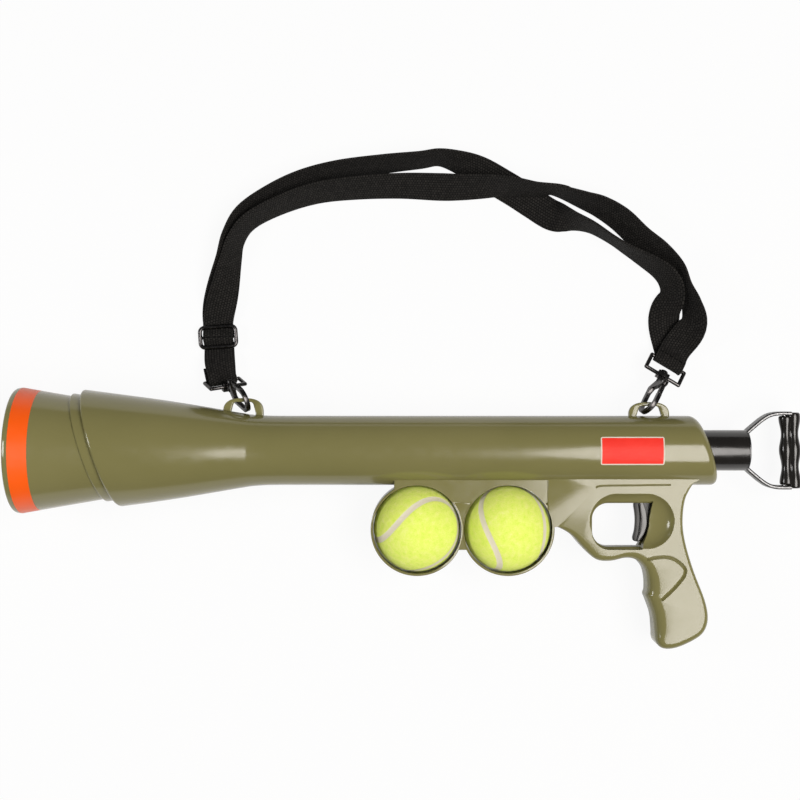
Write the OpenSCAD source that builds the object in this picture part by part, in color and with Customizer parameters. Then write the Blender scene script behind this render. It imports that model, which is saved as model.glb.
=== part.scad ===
// Spring-plunger tennis ball launcher with a pistol grip, two spare balls and a shoulder strap.
// It lies on its right-hand side, with the barrel along X and the strap on the floor.
// Each piece is drawn about the barrel axis, with X measured back from the muzzle rim, and then laid down.

/* [Barrel] */
// Outside radius of the straight barrel
barrel_r = 26.4; // [25:0.1:29]
// Wall of the moulded shells
wall = 2.4; // [1.8:0.1:3]
// From the muzzle rim to the rear end, along the axis
body_len = 526; // [520:1:560]
// Slant of the front lip and of the rear end, from square
end_slant = 17.5; // [10:0.5:20]
// Rounding of the rear end's edge
rear_round = 6; // [3:0.5:8]
// From the rim to the main lip, along the axis
lip_x = 64; // [60:1:70]
// Rounding of the main lip's edge
lip_round = 3; // [1:0.5:4]
// How far the thin collar stands out ahead of the main lip
collar_len = 8.5; // [5:0.5:12]
// Thickness of the thin collar
collar_t = 2; // [1.2:0.1:3]
// From the rim to where the flare's line starts
flare_x = 40; // [35:1:45]
// Radius of the flare's line where it starts
flare_r = 47.9; // [46:0.1:50]
// Length of the flare
flare_len = 160; // [150:1:170]

/* [Muzzle] */
// Radius of the muzzle rim
muzzle_r = 48; // [46:0.5:52]
// Rounding of the muzzle rim
rim_round = 4; // [2:0.5:5]
// Wall of the funnel
funnel_wall = 2.4; // [1.8:0.1:3]
// From the rim to where the funnel turns into a straight throat
throat_x = 72; // [68:1:78]
// From the rim to the inner end of the funnel
funnel_end = 103; // [100:1:106]
// Gap round a ball in the throat
throat_gap = 1.3; // [0.8:0.1:2]
// Width of the orange band
band_w = 14; // [8:0.5:20]
// Depth of the band's seat in the funnel
band_t = 1; // [0.6:0.1:1.4]

/* [Balls] */
// Radius of a tennis ball
ball_r = 32.5; // [31.5:0.1:33.5]
// Wall of a ball, with its felt
ball_wall = 4; // [3:0.1:5]
// Gap round a ball in its ring
ring_gap = 0.35; // [0.3:0.05:1]
// Wall of a ball ring
ring_wall = 2.3; // [1.8:0.1:3]
// From the front ball to the rear end
rack_back = 221.3; // [215:0.1:230]
// From one ball to the next
ball_step = 68.8; // [68:0.1:72]
// How far the balls lie below the barrel axis
ball_drop = 59.4; // [59:0.1:64]
// Half of the ball rack's width
rack_half = 14.5; // [12:0.5:15.5]

/* [Frame] */
// From the front of the trigger window to the rear end
frame_back = 89; // [84:1:96]
// Half of the grip frame's thickness
frame_half = 15.5; // [14:0.5:18]
// Half of the slot that the trigger works in
slot_half = 5.2; // [4.5:0.1:6]
// Radius of the scoop round the trigger, at the frame's face
scoop_r = 20.7; // [18:0.1:21.5]
// Depth of the scoop
scoop_depth = 8; // [5:0.5:8]

/* [Plunger] */
// Outside radius of the plunger tube
tube_r = 15.5; // [14:0.1:16.5]
// Wall of the plunger tube
tube_wall = 1.6; // [1:0.1:2.2]
// How far the tube stands out of the rear end
tube_out = 30; // [20:1:45]
// How far the handle draws back
stroke = 140; // [100:1:150]
// Running gap of the tube in its bush
tube_fit = 0.05; // [0.02:0.01:0.09]
// From the rim to the front of the bumper ring
bumper_x = 191; // [188:1:200]
// Thickness of the bumper ring
bumper_t = 5; // [3:0.5:8]
// Length of the striker's guide flange
flange_len = 8; // [5:0.5:12]
// Radius of the striker's nose
nose_r = 19; // [15:0.5:20]
// From the rim to the striker's tip
tip_x = 118; // [112:1:130]
// Thickness of the striker's rubber pad
pad_t = 5; // [3:0.5:8]
// From the rib that backs the spring to the rear end
seat_back = 76; // [70:1:86]
// Wire of the main spring
spring_wire = 2.2; // [1.6:0.1:3]
// Turns of the main spring
spring_turns = 24; // [16:1:28]
// Thickness of the rear bush
bush_len = 11; // [8:0.5:14]

/* [Handle] */
// Thickness of the yoke's arms
arm_t = 3.6; // [2.5:0.1:4.5]
// Width of the yoke's arms
arm_w = 13; // [9:0.5:16]
// Half of the grip's length
grip_half = 29; // [28.5:0.5:36]
// Mean radius of the grip's two ribs
lobe_r = 4.4; // [3.8:0.1:5]
// Height of the finger waves
wave_h = 0.5; // [0.2:0.1:0.8]
// Length of one finger wave
wave_len = 19.5; // [16:0.5:24]
// Radius of the steel rod through the grip
rod_r = 1.8; // [1.2:0.1:2]

/* [Trigger] */
// Thickness of the trigger
trigger_t = 9; // [7:0.5:9.5]
// Radius of the trigger's pin
trigger_pin_r = 1.5; // [1:0.1:2]
// Radius of the sear's pin
sear_pin_r = 1.2; // [0.9:0.1:1.4]
// Thickness of the sear
sear_t = 4; // [3:0.5:4.5]
// Radius of a shell screw's shank
screw_r = 1.5; // [1.2:0.1:1.8]

/* [Strap] */
// Width of the webbing
strap_w = 24; // [22:0.5:26]
// Thickness of the webbing
strap_t = 1.6; // [1.2:0.1:1.8]
// Thickness of a strap lug across the barrel
lug_t = 4.6; // [4:0.1:5]
// Height of the top beam of a lug
beam_h = 3; // [2.5:0.1:3.5]
// Bar of the snap hooks
hook_bar = 3.2; // [2.6:0.1:3.4]
// Half of the snap hooks' opening
hook_half = 7; // [6.5:0.1:8]
// From a lug's beam to the loop's strap bar
hook_len = 40; // [39:0.5:42]
// Radius of the loop's wire
loop_r = 1.5; // [1.2:0.1:1.7]

/* [Hidden] */
$fn = 96;

olive = [0.50, 0.48, 0.33];
orange = [0.99, 0.41, 0.02];
felt = [0.87, 0.97, 0.35];
black = [0.10, 0.09, 0.08];
steel = [0.72, 0.72, 0.74];
dark_chrome = [0.35, 0.34, 0.35];

// General clearances
fit = 0.25;
touch = 0.3;
pin_fit = 0.05;
far = 900;

// Places that follow the rear end
front_ball_x = body_len - rack_back;
frame_x = body_len - frame_back;
seat_x = body_len - seat_back;
rear_lug_back = 44;

// Derived sizes of the barrel and the funnel
bore_r = barrel_r - wall;
seat_r = ball_r + throat_gap;
throat_r = seat_r + funnel_wall;
stop_r = seat_r - 4.5;
flange_r = throat_r + 1.8;
flange_at = funnel_end - 12;
flange_w = 3;
bumper_rib = 5;
rear_wall_x = body_len - 14;
tube_end = body_len + tube_out;
flange_x = bumper_x + bumper_t + touch;
tube_start = flange_x + flange_len;
washer_t = 1.6;
spring_r = bore_r - 2 - spring_wire / 2;
rib_len = 4;
ring_r = ball_r + ring_gap;
ring_out = ring_r + ring_wall;
ball_xs = [front_ball_x, front_ball_x + ball_step];

// Outline of the flare as shares of its length and of its height over the barrel
flare_shape = [[0, 1], [0.455, 0.55], [0.8, 0.126], [0.87, 0.045], [0.94, 0.01], [1, 0]];
flare_line = [for (p = flare_shape)
    [flare_x + p[0] * flare_len, barrel_r + p[1] * (flare_r - barrel_r)]];

function flare_at(x) = lookup(x, flare_line);
function funnel_at(x) = lookup(x, [[rim_round, muzzle_r], [throat_x, throat_r]]);

// Grip frame's outline from the front of the trigger window
frame_line = [[-34, -56], [-25, -58], [-15, -64], [-7, -73], [3, -82], [14, -83.5], [24.5, -81.5], [32, -82.5],
    [38, -88.5], [40, -97], [40, -106], [39, -110], [40.5, -114], [44.5, -125], [46, -137], [47, -145],
    [53, -150], [64, -149.5], [78, -143.5], [86, -137], [89, -127], [86, -113], [78, -91.5], [72.5, -73],
    [70, -59], [70, -47], [72, -37], [75, -30.5], [79, -24.8], [84, -20.8]];
frame_top = -12;
grip_bottom = min([for (p = frame_line) p[1]]);
grip_hollow = [[52, -99], [70, -99], [79, -122], [77, -134], [57, -134], [54, -118]];

// Trigger window: two round corners in front, and a rear edge that follows the trigger's back
window_r = 12;
window_x = 13;
window_ys = [-52, -61];
window_top = -39.8;
window_rear = [[36.4, -73], [37.5, -68], [39.5, -64.5], [43, -56], [46, -46], [47, -39.8]];

// Trigger group, from the front of the trigger window
trigger_at = [47, -34];
sear_at = [50, -24.5];
trigger_boss = 4.8;
sear_boss = 3.4;
pin_half = 8;
scoop_at = [22, 44.4];
scoop_y = -53.9;
trigger_line = [[42.6, -32.5], [39, -36.6], [34.2, -39], [33.4, -41.5], [34.3, -48], [34.6, -54], [34, -61],
    [32.6, -66.6], [33.4, -69.2], [35.6, -69.6], [37.6, -68], [39.5, -64.5], [43, -56], [46, -46], [51, -37],
    [58, -33], [58, -29.8], [50, -29.8]];
sear_line = [[42, -tube_r - touch], [45.5, -tube_r - touch], [48, -21], [53, -21.3], [59, -25.5],
    [59, -29.2], [56, -29.2], [53, -27.6], [47, -27.6], [43.5, -24]];
works_line = [[30, -36], [38, -36], [38, -18], [62, -18], [62, -52], [58, -66], [50, -72.5], [30, -72.5]];
notch_w = 8;
notch_depth = 1.1;
notch_x = frame_x + 40 - stroke;

// Screws, in from the right-hand side
rack_screw_y = -37;
frame_screws = [[-14, -42], [66.5, -31], [58, -90], [66, -141]];
screw_spots = concat([[front_ball_x + ball_step / 2, rack_screw_y]],
    [for (p = frame_screws) [frame_x + p[0], p[1]]]);
screw_head_r = 3;
screw_head_t = 2;
screw_seat = 9;
screw_reach = 9;

// Strap lugs: middle, height of the beam over the axis, base and top lengths
front_lug_x = 172;
rear_lug_x = body_len - rear_lug_back;
front_rise = 11.5;
rear_rise = 10.5;
lug_base = 31;
lug_top = 17;
post_w = 4;
front_beam = [front_lug_x, flare_at(front_lug_x) + front_rise - beam_h / 2, 0];
rear_beam = [rear_lug_x, barrel_r + rear_rise - beam_h / 2, 0];

// Where the strap bars of the two hooks hang, and how far each hook and loop is turned about its length
front_way = [-20.2, 14.9, -30.5];
rear_way = [18.1, 30.9, -17];
front_spin = -10;
rear_spin = 30;
front_loop_spin = 95;
rear_loop_spin = 105;
bend_y = 1.6;
nose_top = bend_y + 6;
base_y = 16.5;
base_top = 23;
gate_eye = [hook_half + 1.4, 18.6];
gate_eye_r = 2.2;
gate_pin_r = 0.8;
gate_half = 0.8;
hub_y = 26;
hub_top = 30;
stem_r = 1.8;
loop_half = strap_w / 2 + 1;

// Lying pose: the muzzle rim and the rear ball or the barrel's rear end touch the floor
tilt = asin(min((muzzle_r - ball_r) / (ball_xs[1] - rim_round),
    (muzzle_r - barrel_r) / (body_len - rear_round - rim_round)));
rest_z = muzzle_r * cos(tilt) + rim_round * sin(tilt);
lobe_back = 37;
lobe_front = 31.2;
mid_x = (tube_end + lobe_back + lobe_r) / 2;
mid_y = (grip_bottom + muzzle_r) / 2;

function turned_down(d) = [d.x * cos(tilt) + d.z * sin(tilt), d.y, d.z * cos(tilt) - d.x * sin(tilt)];
function laid(p) = turned_down(p) + [-mid_x, -mid_y, rest_z];

module lay_down()
    translate([-mid_x, -mid_y, rest_z])
    rotate([0, tilt, 0])
    children();

// Smooth curve through points, with the given steps from each point to the next
function unit(v) = v / norm(v);
function blend_4(a, b, c, d, t) = 0.5 * (2 * b + (c - a) * t + (2 * a - 5 * b + 4 * c - d) * t * t
    + (3 * b - a - 3 * c + d) * t * t * t);
function smooth(p, steps) = let (n = len(p) - 1)
    [for (i = [0 : n - 1]) for (k = [0 : steps - 1])
        blend_4(p[max(i - 1, 0)], p[i], p[i + 1], p[min(i + 2, n)], k / steps), p[n]];

// Solid skinned over a list of rings with equal counts of points
module skin(rings) {
    m = len(rings[0]);
    n = len(rings);
    sides = [for (i = [0 : n - 2]) for (k = [0 : m - 1]) let (a = i * m + k, b = i * m + (k + 1) % m)
        each [[a, a + m, b], [b, a + m, b + m]]];
    first = [for (k = [0 : m - 1]) k];
    last = [for (k = [m - 1 : -1 : 0]) (n - 1) * m + k];
    polyhedron([for (r = rings) each r], concat([first], sides, [last]));
}

// Body turned about the barrel axis from points of place and radius
module turned(line)
    rotate([0, 90, 0])
    rotate_extrude()
    polygon([for (p = line) [p[1], p[0]]]);

// Rod between two places along the barrel axis
module rod(x0, x1, r)
    translate([x0, 0, 0])
    rotate([0, 90, 0])
    cylinder(h = x1 - x0, r = r);

// Pin across the frame at a place in the side view
module cross_pin(at, r, half)
    translate([at.x, at.y, -half])
    cylinder(h = 2 * half, r = r);

// Everything behind a slanted plane through a place on the axis
module behind(x)
    translate([x, 0, 0])
    rotate([0, 0, end_slant])
    translate([0, -far / 2, -far / 2])
    cube(far);

// Slanted block with a rounded rear edge
module rear_limit() {
    edge = barrel_r / cos(end_slant);
    arc = [for (a = [0 : 15 : 90])
        [-rear_round * (1 - sin(a)), edge - rear_round * (1 - cos(a))]];
    translate([body_len, 0, 0])
    rotate([0, 0, end_slant])
    turned(concat([[-far, 0], [-far, far], [-rear_round, far]], arc, [[0, 0]]));
}

// Slanted block with a rounded front edge
module lip_limit() {
    edge = flare_at(lip_x) / cos(end_slant);
    arc = [for (a = [90 : -15 : 0])
        [lip_round * (1 - sin(a)), edge - lip_round * (1 - cos(a))]];
    translate([lip_x, 0, 0])
    rotate([0, 0, end_slant])
    turned(concat([[0, 0]], arc, [[lip_round, far], [far, far], [far, 0]]));
}

// Outside of barrel, flare and collar
module barrel_outside() {
    intersection() {
        turned(concat([[flare_x, 0]], flare_line, [[body_len + 20, barrel_r], [body_len + 20, 0]]));
        lip_limit();
        rear_limit();
    }
    intersection() {
        turned([[30, 0], [30, funnel_at(30) + fit + collar_t], [throat_x, throat_r + fit + collar_t],
            [lip_x + 18, throat_r + fit + collar_t], [lip_x + 18, 0]]);
        behind(lip_x - collar_len);
    }
}

// Space inside the barrel, with the ribs that hold the funnel, the bumper and the spring
module barrel_inside() {
    rib_x = funnel_end + touch;
    after = rib_x + 3;
    flare_in = [for (p = flare_line) if (p[0] > after + 1 && p[0] < bumper_x - bumper_rib - 1)
        [p[0], p[1] - wall]];
    turned(concat(
        [[20, 0], [20, funnel_at(20) + fit], [throat_x, throat_r + fit],
            [flange_at - fit, throat_r + fit], [flange_at - fit, flange_r + fit],
            [flange_at + flange_w + fit, flange_r + fit], [flange_at + flange_w + fit, throat_r + fit],
            [rib_x, throat_r + fit], [rib_x, stop_r + 4], [after, stop_r + 4],
            [after, flare_at(after) - wall]],
        flare_in,
        [[bumper_x - bumper_rib, flare_at(bumper_x - bumper_rib) - wall],
            [bumper_x - bumper_rib, bore_r - 2.5], [bumper_x, bore_r - 2.5], [bumper_x, bore_r],
            [seat_x, bore_r], [seat_x, tube_r + 1], [seat_x + rib_len, tube_r + 1],
            [seat_x + rib_len, bore_r], [rear_wall_x, bore_r], [rear_wall_x, tube_r + 0.6],
            [body_len + 20, tube_r + 0.6], [body_len + 20, 0]]));
}

// Upper half of the grip frame
module frame_block() {
    ends = [[frame_line[len(frame_line) - 1].x, frame_top], [frame_line[0].x, frame_top]];
    translate([frame_x, 0, 0])
    linear_extrude(height = frame_half)
    polygon(concat(smooth(frame_line, 3), ends));
}

// Ball rings and the block that carries them under the barrel
module rack_outline() {
    for (x = ball_xs)
        translate([x, -ball_drop])
        circle(ring_out);
    translate([ball_xs[0] - 17.4, -ball_drop + 20])
    square([ball_step + 17.4 + 45, ball_drop - 20 - bore_r]);
    translate([ball_xs[0] + ball_step / 2 - 4, -ball_drop - 16])
    square([8, 30]);
}

// Trapezoid strap lug with its window, standing on the barrel at a place
module lug(x, top, rise) {
    foot = top - rise - 4;
    translate([x, 0, 0])
    linear_extrude(height = lug_t / 2)
    difference() {
        polygon([[-lug_base / 2, foot], [-lug_base / 2, foot + 4], [-lug_top / 2, top],
            [lug_top / 2, top], [lug_base / 2, foot + 4], [lug_base / 2, foot]]);
        polygon([[-lug_base / 2 + post_w + 2, foot - 1], [-lug_base / 2 + post_w + 2, foot + 4],
            [-lug_top / 2 + post_w / 3, top - beam_h], [lug_top / 2 - post_w / 3, top - beam_h],
            [lug_base / 2 - post_w - 2, foot + 4], [lug_base / 2 - post_w - 2, foot - 1]]);
    }
}

// Trigger window through the frame
module window_outline() {
    low = window_ys[1] - window_r;
    for (y = window_ys)
        translate([frame_x + window_x, y])
        circle(window_r);
    translate([frame_x, 0])
    polygon(concat([[window_x, low]], window_rear, [[window_x, window_top]]));
    translate([frame_x + window_x - window_r, window_ys[1]])
    square([window_r, window_ys[0] - window_ys[1]]);
}

// Scoop round the trigger in one face of the frame
module scoop() {
    floor_z = frame_half - scoop_depth;
    over = 0.5;
    slope = 0.9;
    top_r = scoop_r + slope * over;
    floor_r = scoop_r - slope * scoop_depth;
    side = 0.3;
    translate([frame_x, scoop_y, floor_z]) {
        for (x = scoop_at)
            translate([x, 0, 0])
            cylinder(h = scoop_depth + over, r1 = floor_r, r2 = top_r);
        translate([scoop_at[0], 0, 0])
        rotate([90, 0, 90])
        linear_extrude(height = scoop_at[1] - scoop_at[0])
        polygon([[-floor_r + side, 0], [floor_r - side, 0], [top_r - side, scoop_depth + over],
            [-top_r + side, scoop_depth + over]]);
    }
}

// Slot for the trigger and the sear at the middle of the frame
module works_slot() {
    translate([frame_x, 0, -1])
    linear_extrude(height = slot_half + 1)
    polygon(works_line);
}

// Barrel half with the ball rack and the strap lugs, on the upper side of the mid-plane
module half_barrel() {
    difference() {
        union() {
            intersection() {
                barrel_outside();
                translate([-far / 2, -far / 2, 0]) cube(far * 1.5);
            }
            linear_extrude(height = rack_half) rack_outline();
            lug(front_lug_x, flare_at(front_lug_x) + front_rise, front_rise);
            lug(rear_lug_x, barrel_r + rear_rise, rear_rise);
        }
        barrel_inside();
        for (x = ball_xs)
            translate([x, -ball_drop, -1])
            cylinder(h = 3 * rack_half, r = ring_r);
    }
}

// Grip frame half with its window, scoop and hollow grip; its top ends inside the barrel's wall
module half_frame() {
    sunk = 1;
    difference() {
        frame_block();
        rod(ball_xs[0], tube_end, bore_r + sunk);
        translate([ball_xs[1], -ball_drop, -1])
        cylinder(h = 3 * frame_half, r = ring_r + sunk);
        translate([0, 0, -1])
        linear_extrude(height = 3 * frame_half)
        window_outline();
        scoop();
        translate([frame_x, 0, -1])
        linear_extrude(height = frame_half - wall + 1)
        polygon(grip_hollow);
    }
}

// One shell's half, with the slot and the pin holes for the trigger and the sear
module half_shell() {
    difference() {
        union() {
            half_barrel();
            half_frame();
        }
        works_slot();
        translate([frame_x, 0, 0]) {
            cross_pin(trigger_at, trigger_pin_r + pin_fit, pin_half + pin_fit);
            cross_pin(sear_at, sear_pin_r + pin_fit, pin_half + pin_fit);
        }
    }
}

module left_shell() {
    color(olive)
    lay_down()
    difference() {
        half_shell();
        for (s = screw_spots)
            translate([s.x, s.y, -1])
            cylinder(h = screw_reach + 1.5, r = screw_r + pin_fit, $fn = 32);
    }
}

module right_shell() {
    color(olive)
    lay_down()
    difference() {
        mirror([0, 0, 1]) half_shell();
        for (s = screw_spots)
            translate([s.x, s.y, -far]) {
                cylinder(h = far + 1, r = screw_r + 0.2, $fn = 32);
                cylinder(h = far - screw_seat, r = screw_head_r + 0.2, $fn = 32);
            }
    }
}

module shell_screws() {
    color(steel)
    lay_down()
    for (s = screw_spots)
        translate([s.x, s.y, -screw_seat]) {
            cylinder(h = screw_seat + screw_reach, r = screw_r, $fn = 32);
            translate([0, 0, -screw_head_t])
            difference() {
                cylinder(h = screw_head_t, r = screw_head_r, $fn = 32);
                translate([-screw_head_r, -0.4, -0.1]) cube([2 * screw_head_r, 0.8, 1]);
                translate([-0.4, -screw_head_r, -0.1]) cube([0.8, 2 * screw_head_r, 1]);
            }
        }
}

module muzzle_funnel() {
    rim_in = muzzle_r - 0.95 * funnel_wall;
    rim_front = [muzzle_r - 0.65 * funnel_wall, muzzle_r - 0.4 * funnel_wall];
    band_end = rim_round + band_w;
    color(olive)
    lay_down()
    turned([[0.8, rim_in], [0, rim_front[0]], [0, rim_front[1]], [0.8, muzzle_r - 0.17 * funnel_wall],
        [2.2, muzzle_r - 0.1], [rim_round, muzzle_r], [rim_round, muzzle_r - band_t],
        [band_end, funnel_at(band_end) - band_t], [band_end, funnel_at(band_end)],
        [throat_x, throat_r], [flange_at, throat_r], [flange_at, flange_r],
        [flange_at + flange_w, flange_r], [flange_at + flange_w, throat_r], [funnel_end, throat_r],
        [funnel_end, stop_r], [funnel_end - 2, stop_r], [funnel_end - 3.5, seat_r],
        [throat_x, seat_r]]);
}

module muzzle_band() {
    gap = 0.05;
    start = rim_round + gap;
    end = rim_round + band_w - gap;
    color(orange)
    lay_down()
    turned([[start, funnel_at(start) - band_t + gap], [start, funnel_at(start)],
        [end, funnel_at(end)], [end, funnel_at(end) - band_t + gap]]);
}

// Hollow tennis ball
module ball(x) {
    color(felt)
    lay_down()
    translate([x, -ball_drop, 0])
    difference() {
        sphere(ball_r);
        sphere(ball_r - ball_wall);
    }
}

module front_ball() ball(ball_xs[0]);

module rear_ball() ball(ball_xs[1]);

module plunger_tube() {
    color(black)
    lay_down()
    difference() {
        rod(tube_start, tube_end, tube_r);
        rod(tube_start - 1, tube_end + 1, tube_r - tube_wall);
        translate([notch_x, -far / 2 - tube_r + notch_depth, -far / 2]) cube([notch_w, far / 2, far]);
        cross_pin([tube_start + 10, 0], trigger_pin_r + pin_fit, far / 2);
        cross_pin([tube_end - 10, 0], trigger_pin_r + pin_fit, far / 2);
    }
}

module striker_head() {
    stem_r = nose_r - 6;
    pad_x = tip_x + pad_t;
    color(black)
    lay_down()
    difference() {
        turned([[pad_x, 0], [pad_x, nose_r], [pad_x + 4, nose_r], [pad_x + 12, stem_r],
            [flange_x, stem_r], [flange_x, bore_r - touch], [tube_start, bore_r - touch],
            [tube_start, tube_r - tube_wall - 0.1], [tube_start + 20, tube_r - tube_wall - 0.1],
            [tube_start + 20, 0]]);
        cross_pin([tube_start + 10, 0], trigger_pin_r + pin_fit, far / 2);
        rod(pad_x - 1, pad_x + 8, 4);
    }
}

module striker_pad() {
    pad_x = tip_x + pad_t;
    color(black)
    lay_down()
    turned([[tip_x, 0], [tip_x, nose_r - 6], [tip_x + 1.5, nose_r - 2], [pad_x - 1, nose_r],
        [pad_x, nose_r], [pad_x, 3.95], [pad_x + 7, 3.95], [pad_x + 7, 0]]);
}

module striker_pin() {
    color(steel)
    lay_down()
    cross_pin([tube_start + 10, 0], trigger_pin_r, tube_r - 0.2);
}

// Points of a coil round the X axis
function coil_line(x0, x1, r, turns) = [for (i = [0 : turns * 8]) let (a = i * 45)
    [x0 + (x1 - x0) * i / (turns * 8), r * cos(a), r * sin(a)]];

// Least gap of a coil to its own next turn
function coil_gap(line, wire) = min([for (i = [0 : len(line) - 9]) norm(line[i + 8] - line[i])]) - wire;

// Round wire of six sides along a line of points
module wire_along(line, r) {
    n = len(line) - 1;
    rings = [for (i = [0 : n])
        let (t = unit(line[min(i + 1, n)] - line[max(i - 1, 0)]),
            s = unit(cross(t, [1, 0.01, 0.02])), u = cross(t, s))
        [for (k = [0 : 5]) line[i] + r * (cos(k * 60) * s + sin(k * 60) * u)]];
    skin(rings);
}

module coil(x0, x1, r, wire, turns, name) {
    line = coil_line(x0 + wire / 2 + 0.1, x1 - wire / 2 - 0.1, r, turns);
    echo(str(name, " gap between turns, mm: ", coil_gap(line, wire)));
    wire_along(line, wire / 2);
}

module main_spring() {
    color(steel)
    lay_down()
    coil(tube_start + touch, seat_x - washer_t - 2 * touch, spring_r, spring_wire, spring_turns, "main spring");
}

module spring_seat() {
    color(steel)
    lay_down()
    difference() {
        rod(seat_x - washer_t - touch, seat_x - touch, bore_r - touch);
        rod(seat_x - 20, seat_x + 20, tube_r + 1);
    }
}

module bumper_ring() {
    color(black)
    lay_down()
    difference() {
        rod(bumper_x + 0.05, bumper_x + bumper_t, bore_r - 0.1);
        rod(bumper_x - 20, bumper_x + 20, nose_r + 1);
    }
}

module rear_bush() {
    color(black)
    lay_down()
    difference() {
        rod(rear_wall_x - bush_len - 0.05, rear_wall_x - 0.05, bore_r - 0.1);
        rod(0, far, tube_r + tube_fit);
    }
}

// Plan of a bent strip along a line, with its thickness
function strip(line, t) = let (n = len(line) - 1,
        side = [for (i = [0 : n]) let (d = unit(line[min(i + 1, n)] - line[max(i - 1, 0)])) [-d.y, d.x] * t / 2])
    concat([for (i = [0 : n]) line[i] + side[i]], [for (i = [n : -1 : 0]) line[i] - side[i]]);

arm_top = grip_half - 1.8;
arm_end = lobe_back - lobe_r - wave_h - touch;
arm_line = [[2.2, tube_r - 5], [2.6, tube_r - 1.5], [5.5, tube_r + 2.3], [9, tube_r + 5.4],
    [12.5, (tube_r + arm_top) / 2 + 3], [17, arm_top - 1], [22, arm_top], [arm_end, arm_top]];

module pull_yoke() {
    spigot_r = tube_r - tube_wall - 0.1;
    color(steel)
    lay_down()
    difference() {
        union() {
            rod(tube_end - 18, tube_end, spigot_r);
            rod(tube_end, tube_end + 3, tube_r - 0.5);
            for (m = [0, 1])
                mirror([0, m, 0])
                translate([tube_end, 0, -arm_w / 2])
                linear_extrude(height = arm_w)
                polygon(strip(smooth(arm_line, 3), arm_t));
        }
        cross_pin([tube_end - 10, 0], trigger_pin_r + pin_fit, far / 2);
        translate([tube_end + rod_at, -far / 2, 0])
        rotate([-90, 0, 0])
        cylinder(h = far, r = rod_r + pin_fit);
    }
}

module yoke_pin() {
    color(steel)
    lay_down()
    cross_pin([tube_end - 10, 0], trigger_pin_r, tube_r - 0.2);
}

rod_at = lobe_front - 1.6;

// One rib of the grip, with finger waves
module grip_rib(x, half) {
    ys = [for (i = [0 : 24]) -half + i * half / 12];
    function wave(y) = lobe_r + wave_h * cos(360 * y / wave_len);
    translate([tube_end + x, 0, 0])
    rotate([-90, 0, 0])
    rotate_extrude()
    polygon(concat([[0, -half]], [for (y = ys) [wave(y) - (abs(y) > half - 0.1 ? 1.2 : 0), y]], [[0, half]]));
}

module pull_grip() {
    front_half = arm_top - arm_t / 2 - 0.1;
    color(black)
    lay_down()
    difference() {
        union() {
            grip_rib(lobe_front, front_half);
            grip_rib(lobe_back, grip_half);
            translate([tube_end + lobe_front, -front_half, -lobe_r / 2])
            cube([lobe_back - lobe_front, 2 * front_half, lobe_r]);
        }
        translate([tube_end + rod_at, -far / 2, 0])
        rotate([-90, 0, 0])
        cylinder(h = far, r = rod_r + pin_fit);
    }
}

module grip_rod() {
    color(steel)
    lay_down()
    translate([tube_end + rod_at, -arm_top - arm_t / 2, 0])
    rotate([-90, 0, 0])
    cylinder(h = 2 * arm_top + arm_t, r = rod_r);
}

module trigger() {
    color(black)
    lay_down()
    translate([frame_x, 0, 0])
    difference() {
        union() {
            translate([0, 0, -trigger_t / 2])
            linear_extrude(height = trigger_t)
            polygon(trigger_line);
            cross_pin(trigger_at, trigger_boss, trigger_t / 2);
        }
        cross_pin(trigger_at, trigger_pin_r + pin_fit, far / 2);
    }
}

module trigger_pin() {
    color(steel)
    lay_down()
    translate([frame_x, 0, 0])
    cross_pin(trigger_at, trigger_pin_r, pin_half);
}

module trigger_spring() {
    color(steel)
    lay_down()
    translate([0, -50, 0])
    coil(frame_x + 45.6, frame_x + 59.4, 2.2, 0.6, 6, "trigger spring");
}

module sear() {
    color(steel)
    lay_down()
    translate([frame_x, 0, 0])
    difference() {
        union() {
            translate([0, 0, -sear_t / 2])
            linear_extrude(height = sear_t)
            polygon(sear_line);
            cross_pin(sear_at, sear_boss, sear_t / 2);
        }
        cross_pin(sear_at, sear_pin_r + pin_fit, far / 2);
    }
}

module sear_pin() {
    color(steel)
    lay_down()
    translate([frame_x, 0, 0])
    cross_pin(sear_at, sear_pin_r, pin_half);
}

module sear_spring() {
    color(steel)
    lay_down()
    translate([frame_x + sear_at.x, sear_at.y, 0])
    rotate([0, -90, 0])
    coil(sear_t / 2 + 0.1, slot_half - 0.1, sear_pin_r + 0.7, 0.5, 2, "sear spring");
}

// Places a piece with its length along a direction and turned about it
module aim(start, way, spin) {
    y = unit(way);
    e = unit(cross([1, 0, 0], y));
    f = cross(y, e);
    x = cos(spin) * e + sin(spin) * f;
    z = cross(x, y);
    multmatrix([[x.x, y.x, z.x, start.x], [x.y, y.y, z.y, start.y], [x.z, y.z, z.z, start.z]])
    children();
}

function spin_axis(way, spin) = let (y = unit(way), e = unit(cross([1, 0, 0], y)))
    cos(spin) * e + sin(spin) * cross(y, e);

module hook_plan() {
    difference() {
        translate([0, bend_y]) circle(hook_half + hook_bar);
        translate([0, bend_y]) circle(hook_half);
        translate([-far / 2, bend_y]) square(far);
    }
    translate([hook_half, bend_y]) square([hook_bar, nose_top - bend_y]);
    translate([-hook_half - hook_bar, bend_y]) square([hook_bar, base_y - bend_y + 1]);
    polygon([[-hook_half - hook_bar, base_y - 1], [-hook_half, base_y - 4], [-hook_half + 3, base_y],
        [2, base_y], [2, base_top], [-3.5, base_top], [-hook_half - hook_bar, base_y + 2]]);
}

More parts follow.
